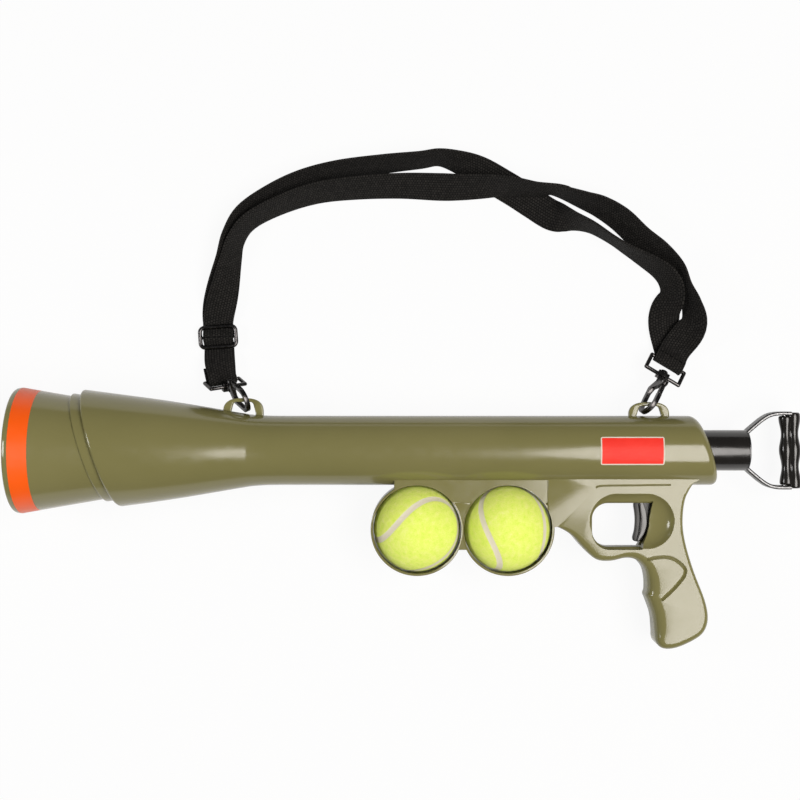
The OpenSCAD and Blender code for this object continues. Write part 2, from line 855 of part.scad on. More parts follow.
// Hook body: the bent bar, the ears for the gate and the swivel stem
module hook_body() {
    difference() {
        union() {
            translate([0, 0, -hook_bar / 2])
            linear_extrude(height = hook_bar)
            hook_plan();
            for (m = [0, 1])
                mirror([0, 0, m])
                translate([1.5, base_y - 0.5, gate_half + 0.15])
                linear_extrude(height = 1.2)
                polygon([[0, 0], [hook_half + 0.4, 0], [hook_half + 2, 1.5], [hook_half + 2, 4],
                    [hook_half, 5.5], [0, 7]]);
            translate([0, base_top - 1, 0])
            rotate([-90, 0, 0])
            cylinder(h = hub_y - touch - base_top + 1, r = stem_r + 1);
            translate([0, base_top - 1, 0])
            rotate([-90, 0, 0])
            cylinder(h = hub_top + touch - base_top + 2.5, r = stem_r);
            translate([0, hub_top + touch, 0])
            rotate([-90, 0, 0])
            cylinder(h = 1.6, r = stem_r + 1.2);
        }
        cross_pin(gate_eye, gate_pin_r + pin_fit, far / 2);
    }
}

module hook_gate() {
    difference() {
        union() {
            cross_pin(gate_eye, gate_eye_r, gate_half);
            translate([gate_eye.x - 1.2, nose_top + 4, -gate_half])
            cube([2.4, gate_eye.y - nose_top - 4, 2 * gate_half]);
            translate([hook_half + 0.2, nose_top + touch, -hook_bar / 2])
            cube([hook_bar - 0.4, base_y - nose_top - 2, hook_bar]);
        }
        cross_pin(gate_eye, gate_pin_r + pin_fit, far / 2);
    }
}

module gate_pin() cross_pin(gate_eye, gate_pin_r, gate_half + 1.35);

// Swivel loop: the hub on the stem and the bar that the webbing goes round
module hook_loop() {
    module bar_x(y)
        translate([-loop_half - loop_r, y, 0])
        rotate([0, 90, 0])
        cylinder(h = 2 * (loop_half + loop_r), r = loop_r, $fn = 32);
    difference() {
        union() {
            translate([-4.6, hub_y, -3.4]) cube([9.2, hub_top - hub_y, 6.8]);
            bar_x((hub_y + hub_top) / 2);
            bar_x(hook_len);
            for (x = [-1, 1])
                translate([x * (loop_half + loop_r), (hub_y + hub_top) / 2, 0]) {
                    rotate([-90, 0, 0])
                    cylinder(h = hook_len - (hub_y + hub_top) / 2, r = loop_r, $fn = 32);
                    sphere(loop_r, $fn = 32);
                    translate([0, hook_len - (hub_y + hub_top) / 2, 0]) sphere(loop_r, $fn = 32);
                }
        }
        rotate([-90, 0, 0])
        cylinder(h = far, r = stem_r + pin_fit);
    }
}

module front_hook_body() color(dark_chrome) lay_down() aim(front_beam, front_way, front_spin) hook_body();

module front_hook_gate() color(dark_chrome) lay_down() aim(front_beam, front_way, front_spin) hook_gate();

module front_gate_pin() color(steel) lay_down() aim(front_beam, front_way, front_spin) gate_pin();

module front_hook_loop() color(dark_chrome) lay_down() aim(front_beam, front_way, front_loop_spin) hook_loop();

module rear_hook_body() color(dark_chrome) lay_down() aim(rear_beam, rear_way, rear_spin) hook_body();

module rear_hook_gate() color(dark_chrome) lay_down() aim(rear_beam, rear_way, rear_spin) hook_gate();

module rear_gate_pin() color(steel) lay_down() aim(rear_beam, rear_way, rear_spin) gate_pin();

module rear_hook_loop() color(dark_chrome) lay_down() aim(rear_beam, rear_way, rear_loop_spin) hook_loop();

// Strap routes on the floor: place, lean of the webbing and how far it is lifted off the floor
outer_route = [[-152.6, 138, 0, 0.05], [-153.4, 150, 0, -0.05], [-153.5, 160, 5, 0],
    [-150, 178, 32, 0], [-145, 200, 54, 0], [-141, 219, 62, 0], [-131, 236, 60, 0], [-110, 250, 54, 0],
    [-85, 261.5, 52, 0], [-56, 269.5, 57, 0], [-20, 274.5, 62, 0], [7.5, 277.2, 66, 0],
    [22.4, 279.2, 66, 0], [37.4, 275.8, 52, 0], [52.4, 270, 30, 0], [67.4, 261.9, 10, 0],
    [82.5, 253, 4, 0], [97.4, 243.2, 3, 0], [110, 235, 12, 0], [119, 231.8, 40, 0],
    [128, 228.8, 62, 0], [141.3, 223.8, 76, 0], [156.2, 214.6, 82, 0], [168.1, 206.8, 79, 0],
    [181.5, 198.8, 70, 0], [195, 190, 60, 0], [202.4, 180.5, 52, 0], [203.6, 170, 43, 0],
    [198.8, 159, 21, 0.3], [198.4, 146, 2, 1.6]];
inner_route = [[-152.6, 139.9, 0, 5], [-152.7, 141.6, 0, 4.6], [-153, 145.4, 0, 2.1],
    [-153, 150, 0, 1.85], [-151, 160, 5, 4], [-146, 178, 32, 4.2], [-141.5, 200, 54, 1],
    [-137.3, 216, 64, 0], [-126.5, 230, 66, 0], [-103, 242.5, 62, 0], [-74, 252, 56, 0],
    [-42, 256, 50, 0], [-8, 257.5, 43, 0], [22.3, 256.6, 36, 0], [37.4, 256.2, 40, 0.2],
    [52.3, 256.3, 46, 0.9], [67.1, 256.4, 54, 2.1], [81.9, 255.5, 62, 2.7], [96.7, 253.6, 72, 3.8],
    [107.2, 253, 78, 5.7], [114, 252.3, 78, 5.1], [120.7, 250.4, 75, 2], [135.6, 245, 64, 0],
    [149.1, 239.6, 53, 0], [164, 230, 45, 0], [178.8, 215.8, 45, 0], [193.6, 204.4, 50, 0],
    [206, 191.4, 60, 0], [212.3, 177, 68, 1], [217.8, 163, 60, 3.8], [219, 147.5, 39, 6.3]];
tab_route = [[-150.5, 120, 14, 5.4], [-152, 130.5, 0, 1.9], [-152.2, 133.6, 0, 1.9], [-152.5, 137.4, 0, 4.6],
    [-152.6, 139.1, 0, 5]];
slider_at = [-152.6, 139.5, 0];
slider_turn = 4;
slider_half = [strap_w / 2 + 2.2, 8];
slider_r = 1.5;
slider_z = 5.4;
middle_z = 3.4;
middle_r = 1.3;

// Height at which webbing with a given lean rests on the floor
function rest_height(lean) = 1.03 * strap_w / 2 * abs(sin(lean)) + strap_t / 2 * abs(cos(lean)) + 0.1;

// Rings of place and width direction along a route on the floor
function route_rings(r) = let (n = len(r) - 1)
    [for (i = [0 : n])
        let (d = r[min(i + 1, n)] - r[max(i - 1, 0)], t = unit([d[0], d[1], 0]), h = [-t.y, t.x, 0])
        [[r[i][0], r[i][1], rest_height(r[i][2]) + r[i][3]], cos(r[i][2]) * h + sin(r[i][2]) * [0, 0, 1]]];

// Rings round a loop's strap bar, with both legs leaving at an angle to the loop's plane
function wrap_rings(start, way, spin, side, swing, legs) =
    let (y = turned_down(unit(way)), x = turned_down(spin_axis(way, spin)), z = cross(x, y),
        bar = laid(start) + hook_len * y, r = loop_r + 0.45 + strap_t / 2,
        out = cos(swing) * y + sin(swing) * z, up = side * (cos(swing) * z - sin(swing) * y),
        w = swing > 0 ? -x : x)
    concat([[bar + r * up + legs[0] * out, w]],
        [for (a = [0 : 36 : 180]) [bar + r * (cos(a) * up - sin(a) * out), w]],
        [for (d = [legs[1] : 10 : legs[2]]) [bar - r * up + d * out, w]]);

// Flat webbing along rings of place and width direction
module webbing(rings, steps) {
    places = smooth([for (r = rings) r[0]], steps);
    widths = smooth([for (r = rings) r[1]], steps);
    n = len(places) - 1;
    skin([for (i = [0 : n])
        let (t = unit(places[min(i + 1, n)] - places[max(i - 1, 0)]),
            w = unit(widths[i] - t * (widths[i] * t)) * strap_w / 2,
            s = unit(cross(t, w)) * strap_t / 2)
        [places[i] + w + s, places[i] - w + s, places[i] - w - s, places[i] + w - s]]);
}

rear_wrap = wrap_rings(rear_beam, rear_way, rear_loop_spin, -1, 0, [8, 5, 15]);
front_wrap = wrap_rings(front_beam, front_way, front_loop_spin, -1, 56, [12, 6, 6]);

// The outer run goes round the rear loop and ends where the inner run starts
wrap_end = len(rear_wrap) - 2;

module strap_outer_run() {
    turn = [for (i = [0 : wrap_end]) rear_wrap[i]];
    color(black)
    webbing(concat(route_rings(outer_route), turn), 2);
}

module strap_inner_run() {
    seam = rear_wrap[wrap_end];
    away = rear_wrap[wrap_end + 1];
    color(black)
    webbing(concat(route_rings(inner_route), [away, seam + (away - seam) * 0.05]), 2);
}

module strap_front_tab() {
    color(black)
    webbing(concat(front_wrap, route_rings(tab_route)), 2);
}

module strap_slider() {
    module bar(p, q, r) {
        d = q - p;
        translate(p)
        rotate([0, 0, atan2(d.y, d.x)])
        rotate([0, 90, 0])
        cylinder(h = norm(d), r = r, $fn = 32);
    }
    color(dark_chrome)
    translate(slider_at)
    rotate([0, 0, slider_turn]) {
        for (s = [-1, 1]) {
            bar([-slider_half.x, s * slider_half.y, slider_z], [slider_half.x, s * slider_half.y, slider_z], slider_r);
            bar([s * slider_half.x, -slider_half.y, slider_z], [s * slider_half.x, slider_half.y, slider_z], slider_r);
            for (t = [-1, 1])
                translate([s * slider_half.x, t * slider_half.y, slider_z])
                sphere(slider_r, $fn = 32);
        }
        bar([-slider_half.x, 0, middle_z], [slider_half.x, 0, middle_z], middle_r);
    }
}

left_shell();
right_shell();
shell_screws();
muzzle_funnel();
muzzle_band();
front_ball();
rear_ball();
plunger_tube();
striker_head();
striker_pad();
striker_pin();
main_spring();
spring_seat();
bumper_ring();
rear_bush();
pull_yoke();
yoke_pin();
pull_grip();
grip_rod();
trigger();
trigger_pin();
trigger_spring();
sear();
sear_pin();
sear_spring();
front_hook_body();
front_hook_gate();
front_gate_pin();
front_hook_loop();
rear_hook_body();
rear_hook_gate();
rear_gate_pin();
rear_hook_loop();
strap_slider();
strap_outer_run();
strap_inner_run();
strap_front_tab();
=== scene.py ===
import math
import bpy
import bmesh
from mathutils import Euler, Matrix, Vector, noise
from mathutils.kdtree import KDTree


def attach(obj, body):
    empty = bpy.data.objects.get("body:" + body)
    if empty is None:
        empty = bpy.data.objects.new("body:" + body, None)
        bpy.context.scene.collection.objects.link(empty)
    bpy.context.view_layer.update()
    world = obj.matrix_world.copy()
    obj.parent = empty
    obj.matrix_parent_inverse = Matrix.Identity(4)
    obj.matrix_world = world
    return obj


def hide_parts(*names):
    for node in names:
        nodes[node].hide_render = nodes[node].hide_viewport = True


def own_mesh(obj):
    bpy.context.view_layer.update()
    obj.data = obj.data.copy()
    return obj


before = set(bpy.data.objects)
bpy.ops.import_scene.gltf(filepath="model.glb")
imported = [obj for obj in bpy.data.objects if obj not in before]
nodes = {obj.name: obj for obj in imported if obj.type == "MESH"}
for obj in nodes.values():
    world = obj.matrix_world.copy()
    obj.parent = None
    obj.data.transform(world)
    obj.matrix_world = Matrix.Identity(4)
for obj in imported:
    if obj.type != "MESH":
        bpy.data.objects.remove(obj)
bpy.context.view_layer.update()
scene = bpy.context.scene
scene.view_settings.view_transform = "Standard"

# pieces are made in mm, x back from the muzzle rim and y towards the strap, then laid down in metres
lying = {"tiltSine": 0.041860, "shift": (-298.7, 51.0, 48.1253)}
tilt = math.asin(lying["tiltSine"])
turnDown = Matrix.Rotation(tilt, 4, "Y")
layDown = Matrix.Scale(0.001, 4) @ Matrix.Translation(lying["shift"]) @ turnDown


def smoothLine(points, steps):
    pts = [Vector(p) for p in points]
    last = len(pts) - 1
    line = []
    for i in range(last):
        a, b, c, d = pts[max(i - 1, 0)], pts[i], pts[i + 1], pts[min(i + 2, last)]
        for k in range(steps):
            t = k / steps
            line.append(0.5 * (2 * b + (c - a) * t + (2 * a - 5 * b + 4 * c - d) * t * t
                               + (3 * b - a - 3 * c + d) * t ** 3))
    return line + [pts[last]]


def holdOnly(obj):
    bpy.ops.object.select_all(action="DESELECT")
    obj.select_set(True)
    bpy.context.view_layer.objects.active = obj


def loopOf(name, points):  # a ring of edges through the points
    bpy.ops.object.select_all(action="DESELECT")
    bpy.ops.mesh.primitive_circle_add(vertices=len(points), radius=1.0, fill_type="NOTHING")
    obj = bpy.context.object
    obj.name = obj.data.name = name
    for vert, p in zip(obj.data.vertices, points):
        vert.co = p
    return obj


def cleanUp(obj, gap=0.0005):
    holdOnly(obj)
    bpy.ops.object.mode_set(mode="EDIT")
    bpy.ops.mesh.select_all(action="SELECT")
    bpy.ops.mesh.remove_doubles(threshold=gap)
    bpy.ops.mesh.delete_loose(use_verts=True, use_edges=True, use_faces=False)
    bpy.ops.mesh.select_all(action="SELECT")
    bpy.ops.mesh.normals_make_consistent(inside=False)
    bpy.ops.object.mode_set(mode="OBJECT")


def turned(name, profile, steps=144):  # profile of (place, radius), spun about the barrel axis
    obj = loopOf(name, [(x, r, 0.0) for x, r in profile])
    bpy.ops.object.mode_set(mode="EDIT")
    bpy.ops.mesh.select_all(action="SELECT")
    bpy.ops.mesh.spin(steps=steps, angle=2 * math.pi, center=(0, 0, 0), axis=(1, 0, 0))
    bpy.ops.object.mode_set(mode="OBJECT")
    cleanUp(obj)
    return obj


def plate(name, outline, low, high):
    obj = loopOf(name, [(x, y, low) for x, y in outline])
    bpy.ops.object.mode_set(mode="EDIT")
    bpy.ops.mesh.select_all(action="SELECT")
    bpy.ops.mesh.edge_face_add()
    bpy.ops.mesh.extrude_region_move(TRANSFORM_OT_translate={"value": (0, 0, high - low)})
    bpy.ops.object.mode_set(mode="OBJECT")
    cleanUp(obj)
    return obj


def slab(name, sides, half):  # plate between two x and two y
    x0, x1, y0, y1 = sides
    return plate(name, [(x0, y0), (x1, y0), (x1, y1), (x0, y1)], -half, half)


def drum(place, radius, depth, sides):
    bpy.ops.object.select_all(action="DESELECT")
    bpy.ops.mesh.primitive_cylinder_add(vertices=sides, radius=radius, depth=depth, location=place)
    bpy.ops.object.transform_apply(location=True, rotation=True, scale=True)
    return bpy.context.object


def lofted(name, rings):  # closed skin over rings with equal counts of points
    shell = bmesh.new()
    rows = [[shell.verts.new(p) for p in ring] for ring in rings]
    count = len(rings[0])
    for a, b in zip(rows, rows[1:]):
        for k in range(count):
            m = (k + 1) % count
            shell.faces.new((a[k], a[m], b[m], b[k]))
    shell.faces.new(reversed(rows[0]))
    shell.faces.new(rows[-1])
    bmesh.ops.recalc_face_normals(shell, faces=shell.faces[:])
    mesh = bpy.data.meshes.new(name)
    shell.to_mesh(mesh)
    shell.free()
    obj = bpy.data.objects.new(name, mesh)
    scene.collection.objects.link(obj)
    return obj


def combine(obj, tool, how="DIFFERENCE"):
    holdOnly(obj)
    step = obj.modifiers.new("combine", "BOOLEAN")
    step.operation, step.solver, step.object = how, "EXACT", tool
    bpy.ops.object.modifier_apply(modifier=step.name)
    bpy.data.objects.remove(tool)


def easeEdges(obj, width, segments=3, angle=35):
    holdOnly(obj)
    step = obj.modifiers.new("ease", "BEVEL")
    step.width, step.segments = width, segments
    step.limit_method, step.angle_limit = "ANGLE", math.radians(angle)
    step.miter_outer = "MITER_ARC"
    bpy.ops.object.modifier_apply(modifier=step.name)


def smoothShade(obj, angle=32):
    holdOnly(obj)
    bpy.ops.object.shade_smooth_by_angle(angle=math.radians(angle))


def settle(obj, matrix=layDown):  # the place goes into the mesh
    obj.matrix_world = matrix
    holdOnly(obj)
    bpy.ops.object.transform_apply(location=True, rotation=True, scale=True)


def dress(obj, finish, angle, bodyName, node, matrix=layDown):  # last steps of a piece that stands for a node
    obj.data.materials.clear()
    obj.data.materials.append(finish)
    smoothShade(obj, angle)
    settle(obj, matrix)
    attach(obj, bodyName)
    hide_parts(node)


def wireAlong(name, points, radius, sides=6, cyclic=False):  # round wire through points
    curve = bpy.data.curves.new(name, "CURVE")
    curve.dimensions = "3D"
    curve.bevel_depth, curve.bevel_resolution, curve.use_fill_caps = radius, sides // 2, True
    spline = curve.splines.new("POLY")
    spline.points.add(len(points) - 1)
    for knot, p in zip(spline.points, points):
        knot.co = (*p, 1.0)
    spline.use_cyclic_u = cyclic
    obj = bpy.data.objects.new(name, curve)
    scene.collection.objects.link(obj)
    holdOnly(obj)
    bpy.ops.object.convert(target="MESH")
    return bpy.context.object


def tubeAlong(name, line, radius, sides):  # closed round rod along points in one plane
    rings, up = [], Vector((0, 0, 1))
    angles = [2 * math.pi * k / sides for k in range(sides)]
    for i, p in enumerate(line):
        t = (line[min(i + 1, len(line) - 1)] - line[max(i - 1, 0)]).normalized()
        s = up.cross(t).normalized()
        rings.append([p + radius * (math.cos(a) * s + math.sin(a) * up) for a in angles])
    return lofted(name, rings)


# camera straight above the launcher, as in the photo
view = {"eye": (291.8, 38.5, 1056.0), "lens": 62.1, "sensor": 36.0, "clip": (0.01, 20.0)}
bpy.ops.object.camera_add()
camera = bpy.context.object
camera.name = "photoCamera"
camera.matrix_world = Matrix.Translation(layDown @ Vector(view["eye"])) @ turnDown
camera.data.lens, camera.data.sensor_width = view["lens"], view["sensor"]
camera.data.clip_start, camera.data.clip_end = view["clip"]
scene.camera = camera

lamps = {"aim": (300, -10, 0),  # then place in mm, size in metres, power and tint
         "keyBox": ((1265, -250, 2160), (1.4, 2.3), 60, (1.0, 0.96, 0.92)),
         "leftBox": ((-620, 60, 620), (0.3, 0.4), 3.4, (1, 1, 1))}
studio = {"sky": 0.1, "floorSize": 40.0, "floorDrop": 0.0004, "floorPaint": 0.74, "floorRough": 0.9,
          "white": {"Is Camera Ray": 0.93, "Is Transmission Ray": 0.93, "Is Glossy Ray": 0.4}}


def softBox(name, place, size, power, tint):
    data = bpy.data.lights.new(name, "AREA")
    data.shape, data.size, data.size_y = "ELLIPSE", size[0], size[1]
    data.energy, data.color = power, tint
    lamp = bpy.data.objects.new(name, data)
    scene.collection.objects.link(lamp)
    at = layDown @ Vector(place)
    aim = layDown @ Vector(lamps["aim"])
    lamp.location = at
    away = (at - aim).normalized()
    side = Vector((0, 1, 0)).cross(away).normalized()
    lamp.rotation_euler = Matrix((side, away.cross(side), away)).transposed().to_euler()


for name in ("keyBox", "leftBox"):
    softBox(name, *lamps[name])
world = bpy.data.worlds.new("studio")
scene.world = world
world.use_nodes = True
world.node_tree.nodes["Background"].inputs["Color"].default_value = (1, 1, 1, 1)
world.node_tree.nodes["Background"].inputs["Strength"].default_value = studio["sky"]

bpy.ops.object.select_all(action="DESELECT")
bpy.ops.mesh.primitive_plane_add(size=studio["floorSize"], location=(0, 0, -studio["floorDrop"]))
floor = bpy.context.object
floor.name = "paleFloor"
floorPaint = bpy.data.materials.new("paleFloor")
floorPaint.use_nodes = True
tree = floorPaint.node_tree
tree.nodes["Principled BSDF"].inputs["Base Color"].default_value = (*[studio["floorPaint"]] * 3, 1)
tree.nodes["Principled BSDF"].inputs["Roughness"].default_value = studio["floorRough"]
rays = tree.nodes.new("ShaderNodeLightPath")
seen = None
for ray, share in studio["white"].items():
    part = tree.nodes.new("ShaderNodeMath")  # white for this share, the rest is paint that keeps the shadow
    part.operation = "MULTIPLY_ADD"
    part.inputs[1].default_value, part.inputs[2].default_value = share, 0.0
    tree.links.new(rays.outputs[ray], part.inputs[0])
    if seen is not None:
        tree.links.new(seen, part.inputs[2])
    seen = part.outputs[0]
glow = tree.nodes.new("ShaderNodeEmission")
both = tree.nodes.new("ShaderNodeMixShader")
tree.links.new(seen, both.inputs["Fac"])
tree.links.new(tree.nodes["Principled BSDF"].outputs[0], both.inputs[1])
tree.links.new(glow.outputs[0], both.inputs[2])
tree.links.new(both.outputs[0], tree.nodes["Material Output"].inputs["Surface"])
floor.data.materials.append(floorPaint)
print("launcher: camera, lamps and floor")


def newFinish(name, rough, metal=0.0, coat=0.0, coatRough=0.05, sheen=0.0):
    mat = bpy.data.materials.new(name)
    mat.use_nodes = True
    shader = mat.node_tree.nodes["Principled BSDF"]
    shader.inputs["Metallic"].default_value = metal
    shader.inputs["Roughness"].default_value = rough
    shader.inputs["Coat Weight"].default_value = coat
    shader.inputs["Coat Roughness"].default_value = coatRough
    shader.inputs["Sheen Weight"].default_value = sheen
    return mat, mat.node_tree, shader


def mixNode(tree, kind="RGBA", blend="MIX"):
    node = tree.nodes.new("ShaderNodeMix")
    node.data_type = kind
    if kind == "RGBA":
        node.blend_type = blend
    return node


def noiseOn(tree, scale, detail=3.0, rough=0.5):
    tex = tree.nodes.new("ShaderNodeTexNoise")
    tex.inputs["Scale"].default_value = scale
    tex.inputs["Detail"].default_value = detail
    tex.inputs["Roughness"].default_value = rough
    tree.links.new(tree.nodes.new("ShaderNodeTexCoord").outputs["Object"], tex.inputs["Vector"])
    return tex.outputs["Fac"]


def rampOn(tree, fac, stops):
    ramp = tree.nodes.new("ShaderNodeValToRGB")
    keys = ramp.color_ramp.elements
    while len(keys) < len(stops):
        keys.new(0.5)
    for key, (place, color) in zip(keys, stops):
        key.position, key.color = place, (*color, 1.0)
    tree.links.new(fac, ramp.inputs["Fac"])
    return ramp.outputs["Color"]


def bumpOn(tree, shader, height, depth, strength=1.0, under=None):
    bump = tree.nodes.new("ShaderNodeBump")
    bump.inputs["Distance"].default_value = depth
    bump.inputs["Strength"].default_value = strength
    tree.links.new(height, bump.inputs["Height"])
    if under is not None:
        tree.links.new(under, bump.inputs["Normal"])
    tree.links.new(bump.outputs["Normal"], shader.inputs["Normal"])
    return bump.outputs["Normal"]


def mapRange(tree, value, fromLow, fromHigh, toLow, toHigh):
    node = tree.nodes.new("ShaderNodeMapRange")
    ends = {"From Min": fromLow, "From Max": fromHigh, "To Min": toLow, "To Max": toHigh}
    for key, number in ends.items():
        node.inputs[key].default_value = number
    tree.links.new(value, node.inputs["Value"])
    return node.outputs["Result"]


def cloudColor(tree, shader, grain, detail, dark, pale):  # two shades in soft patches
    shades = rampOn(tree, noiseOn(tree, grain, detail), [(0.3, dark), (0.7, pale)])
    tree.links.new(shades, shader.inputs["Base Color"])


def cloudRough(tree, shader, grain, low, high):
    spread = mapRange(tree, noiseOn(tree, grain, 3.0), 0.3, 0.7, low, high)
    tree.links.new(spread, shader.inputs["Roughness"])


def mouldedPlastic(name, dark, pale, rough=0.17, coat=0.3, wave=0.00005):
    mat, tree, shader = newFinish(name, rough, coat=coat, coatRough=0.08)
    cloudColor(tree, shader, 9.0, 4.0, dark, pale)
    cloudRough(tree, shader, 140.0, rough - 0.04, rough + 0.05)
    slow = bumpOn(tree, shader, noiseOn(tree, 28.0, 1.0), wave * 6)
    bumpOn(tree, shader, noiseOn(tree, 900.0, 2.0), wave * 0.3, under=slow)
    return mat


olive = mouldedPlastic("oliveMoulding", (0.180, 0.167, 0.061), (0.206, 0.190, 0.074))
orange = mouldedPlastic("orangeBand", (0.91, 0.095, 0.001), (0.97, 0.115, 0.002), rough=0.36, coat=0.05)
glossBlack = mouldedPlastic("glossBlack", (0.0085, 0.0075, 0.0065), (0.014, 0.012, 0.0105), rough=0.2)
dullBlack = mouldedPlastic("dullBlack", (0.010, 0.0095, 0.009), (0.018, 0.017, 0.016), rough=0.45, coat=0.1)


def brightMetal(name, dark, pale, rough, grain=240.0):
    mat, tree, shader = newFinish(name, rough, metal=1.0)
    cloudColor(tree, shader, grain, 3.0, dark, pale)
    cloudRough(tree, shader, grain * 3, rough * 0.7, rough * 1.5)
    bumpOn(tree, shader, noiseOn(tree, grain * 4, 2.0), 0.00003)
    return mat


chrome = brightMetal("brightChrome", (0.12, 0.12, 0.122), (0.165, 0.165, 0.167), 0.3)
darkChrome = brightMetal("darkChrome", (0.055, 0.052, 0.052), (0.11, 0.105, 0.105), 0.22)
steel = brightMetal("zincSteel", (0.42, 0.42, 0.43), (0.58, 0.58, 0.59), 0.3)


def feltFinish(name):
    mat, tree, shader = newFinish(name, 0.95, sheen=0.35)
    shader.inputs["Sheen Roughness"].default_value = 0.6
    shader.inputs["Sheen Tint"].default_value = (0.86, 1.0, 0.45, 1)
    gap = tree.nodes.new("ShaderNodeAttribute")
    gap.attribute_name = "seamGap"
    fuzz = noiseOn(tree, 1100.0, 5.0, 0.65)
    tuft = noiseOn(tree, 260.0, 3.0)
    mixed = mixNode(tree, "FLOAT")
    mixed.inputs["Factor"].default_value = 0.45
    tree.links.new(fuzz, mixed.inputs["A"])
    tree.links.new(tuft, mixed.inputs["B"])
    greens = [(0.32, (0.72, 0.94, 0.07)), (0.5, (0.86, 0.99, 0.16)), (0.68, (0.95, 1.0, 0.32))]
    felt = rampOn(tree, mixed.outputs["Result"], greens)
    onSeam = mapRange(tree, gap.outputs["Fac"], 2.0, 2.6, 1.0, 0.0)
    seam = mixNode(tree)
    tree.links.new(onSeam, seam.inputs["Factor"])
    tree.links.new(felt, seam.inputs["A"])
    seam.inputs["B"].default_value = (0.84, 0.77, 0.62, 1)
    tree.links.new(seam.outputs["Result"], shader.inputs["Base Color"])
    bumpOn(tree, shader, mixed.outputs["Result"], 0.0011, 0.8)
    return mat


feltGreen = feltFinish("feltGreen")


def webbingFinish(name):
    mat, tree, shader = newFinish(name, 0.78, sheen=0.02)
    shader.inputs["Specular IOR Level"].default_value = 0.15
    shader.inputs["Sheen Roughness"].default_value = 0.5
    uv = tree.nodes.new("ShaderNodeUVMap")
    uv.uv_map = "webbing"
    weave = tree.nodes.new("ShaderNodeTexBrick")
    weave.offset, weave.squash = 0.5, 1.0
    for key, value in {"Color1": (1, 1, 1, 1), "Color2": (0.72, 0.72, 0.72, 1), "Mortar": (0, 0, 0, 1),
                       "Scale": 1.0, "Mortar Size": 0.00042, "Mortar Smooth": 1.0,
                       "Brick Width": 0.0021, "Row Height": 0.0021}.items():  # threads in metres
        weave.inputs[key].default_value = value
    tree.links.new(uv.outputs["UV"], weave.inputs["Vector"])
    fray = noiseOn(tree, 2200.0, 3.0)
    thread = mixNode(tree, "RGBA", "MULTIPLY")
    thread.inputs["Factor"].default_value = 0.6
    tree.links.new(weave.outputs["Color"], thread.inputs["A"])
    tree.links.new(fray, thread.inputs["B"])
    blacks = [(0.0, (0.001, 0.0009, 0.0008)), (0.4, (0.0055, 0.005, 0.0046)), (1.0, (0.040, 0.037, 0.034))]
    tree.links.new(rampOn(tree, thread.outputs["Result"], blacks), shader.inputs["Base Color"])
    bumpOn(tree, shader, thread.outputs["Result"], 0.0004, 0.9)
    return mat


webbingBlack = webbingFinish("webbingBlack")


def labelFinish(name, dark, pale):
    mat, tree, shader = newFinish(name, 0.5, coat=0.04, coatRough=0.12)
    shader.inputs["Specular IOR Level"].default_value = 0.2
    cloudColor(tree, shader, 60.0, 4.0, dark, pale)
    bumpOn(tree, shader, noiseOn(tree, 420.0, 2.0), 0.00006)
    return mat


labelRed = labelFinish("labelRed", (0.86, 0.030, 0.018), (0.93, 0.042, 0.026))
labelEdge = labelFinish("labelEdge", (0.66, 0.60, 0.50), (0.78, 0.72, 0.62))
print("launcher: finishes")


# shoulder strap along the same points as its solids: x and y in mm, lean in degrees, lift in mm
strap = {"width": 24.0, "thick": 1.6, "steps": 6,
         "outer": [(-152.6, 138, 0, 0.05), (-153.4, 150, 0, -0.05), (-153.5, 160, 5, 0), (-150, 178, 32, 0),
                   (-145, 200, 54, 0), (-141, 219, 62, 0), (-131, 236, 60, 0), (-110, 250, 54, 0),
                   (-85, 261.5, 52, 0), (-56, 269.5, 57, 0), (-20, 274.5, 62, 0), (7.5, 277.2, 66, 0),
                   (22.4, 279.2, 66, 0), (37.4, 275.8, 52, 0), (52.4, 270, 30, 0), (67.4, 261.9, 10, 0),
                   (82.5, 253, 4, 0), (97.4, 243.2, 3, 0), (110, 235, 12, 0), (119, 231.8, 40, 0),
                   (128, 228.8, 62, 0), (141.3, 223.8, 76, 0), (156.2, 214.6, 82, 0), (168.1, 206.8, 79, 0),
                   (181.5, 198.8, 70, 0), (195, 190, 60, 0), (202.4, 180.5, 52, 0), (203.6, 170, 43, 0),
                   (198.8, 159, 21, 0.3), (198.4, 146, 2, 1.6)],
         "inner": [(-152.6, 139.9, 0, 5), (-152.7, 141.6, 0, 4.6), (-153, 145.4, 0, 2.1), (-153, 150, 0, 1.85),
                   (-151, 160, 5, 4), (-146, 178, 32, 4.2), (-141.5, 200, 54, 1), (-137.3, 216, 64, 0),
                   (-126.5, 230, 66, 0), (-103, 242.5, 62, 0), (-74, 252, 56, 0), (-42, 256, 50, 0),
                   (-8, 257.5, 43, 0), (22.3, 256.6, 36, 0), (37.4, 256.2, 40, 0.2), (52.3, 256.3, 46, 0.9),
                   (67.1, 256.4, 54, 2.1), (81.9, 255.5, 62, 2.7), (96.7, 253.6, 72, 3.8), (107.2, 253, 78, 5.7),
                   (114, 252.3, 78, 5.1), (120.7, 250.4, 75, 2), (135.6, 245, 64, 0), (149.1, 239.6, 53, 0),
                   (164, 230, 45, 0), (178.8, 215.8, 45, 0), (193.6, 204.4, 50, 0), (206, 191.4, 60, 0),
                   (212.3, 177, 68, 1), (217.8, 163, 60, 3.8), (219, 147.5, 39, 6.3)],
         "tab": [(-150.5, 120, 14, 5.4), (-152, 130.5, 0, 1.9), (-152.2, 133.6, 0, 1.9), (-152.5, 137.4, 0, 4.6),
                 (-152.6, 139.1, 0, 5)]}
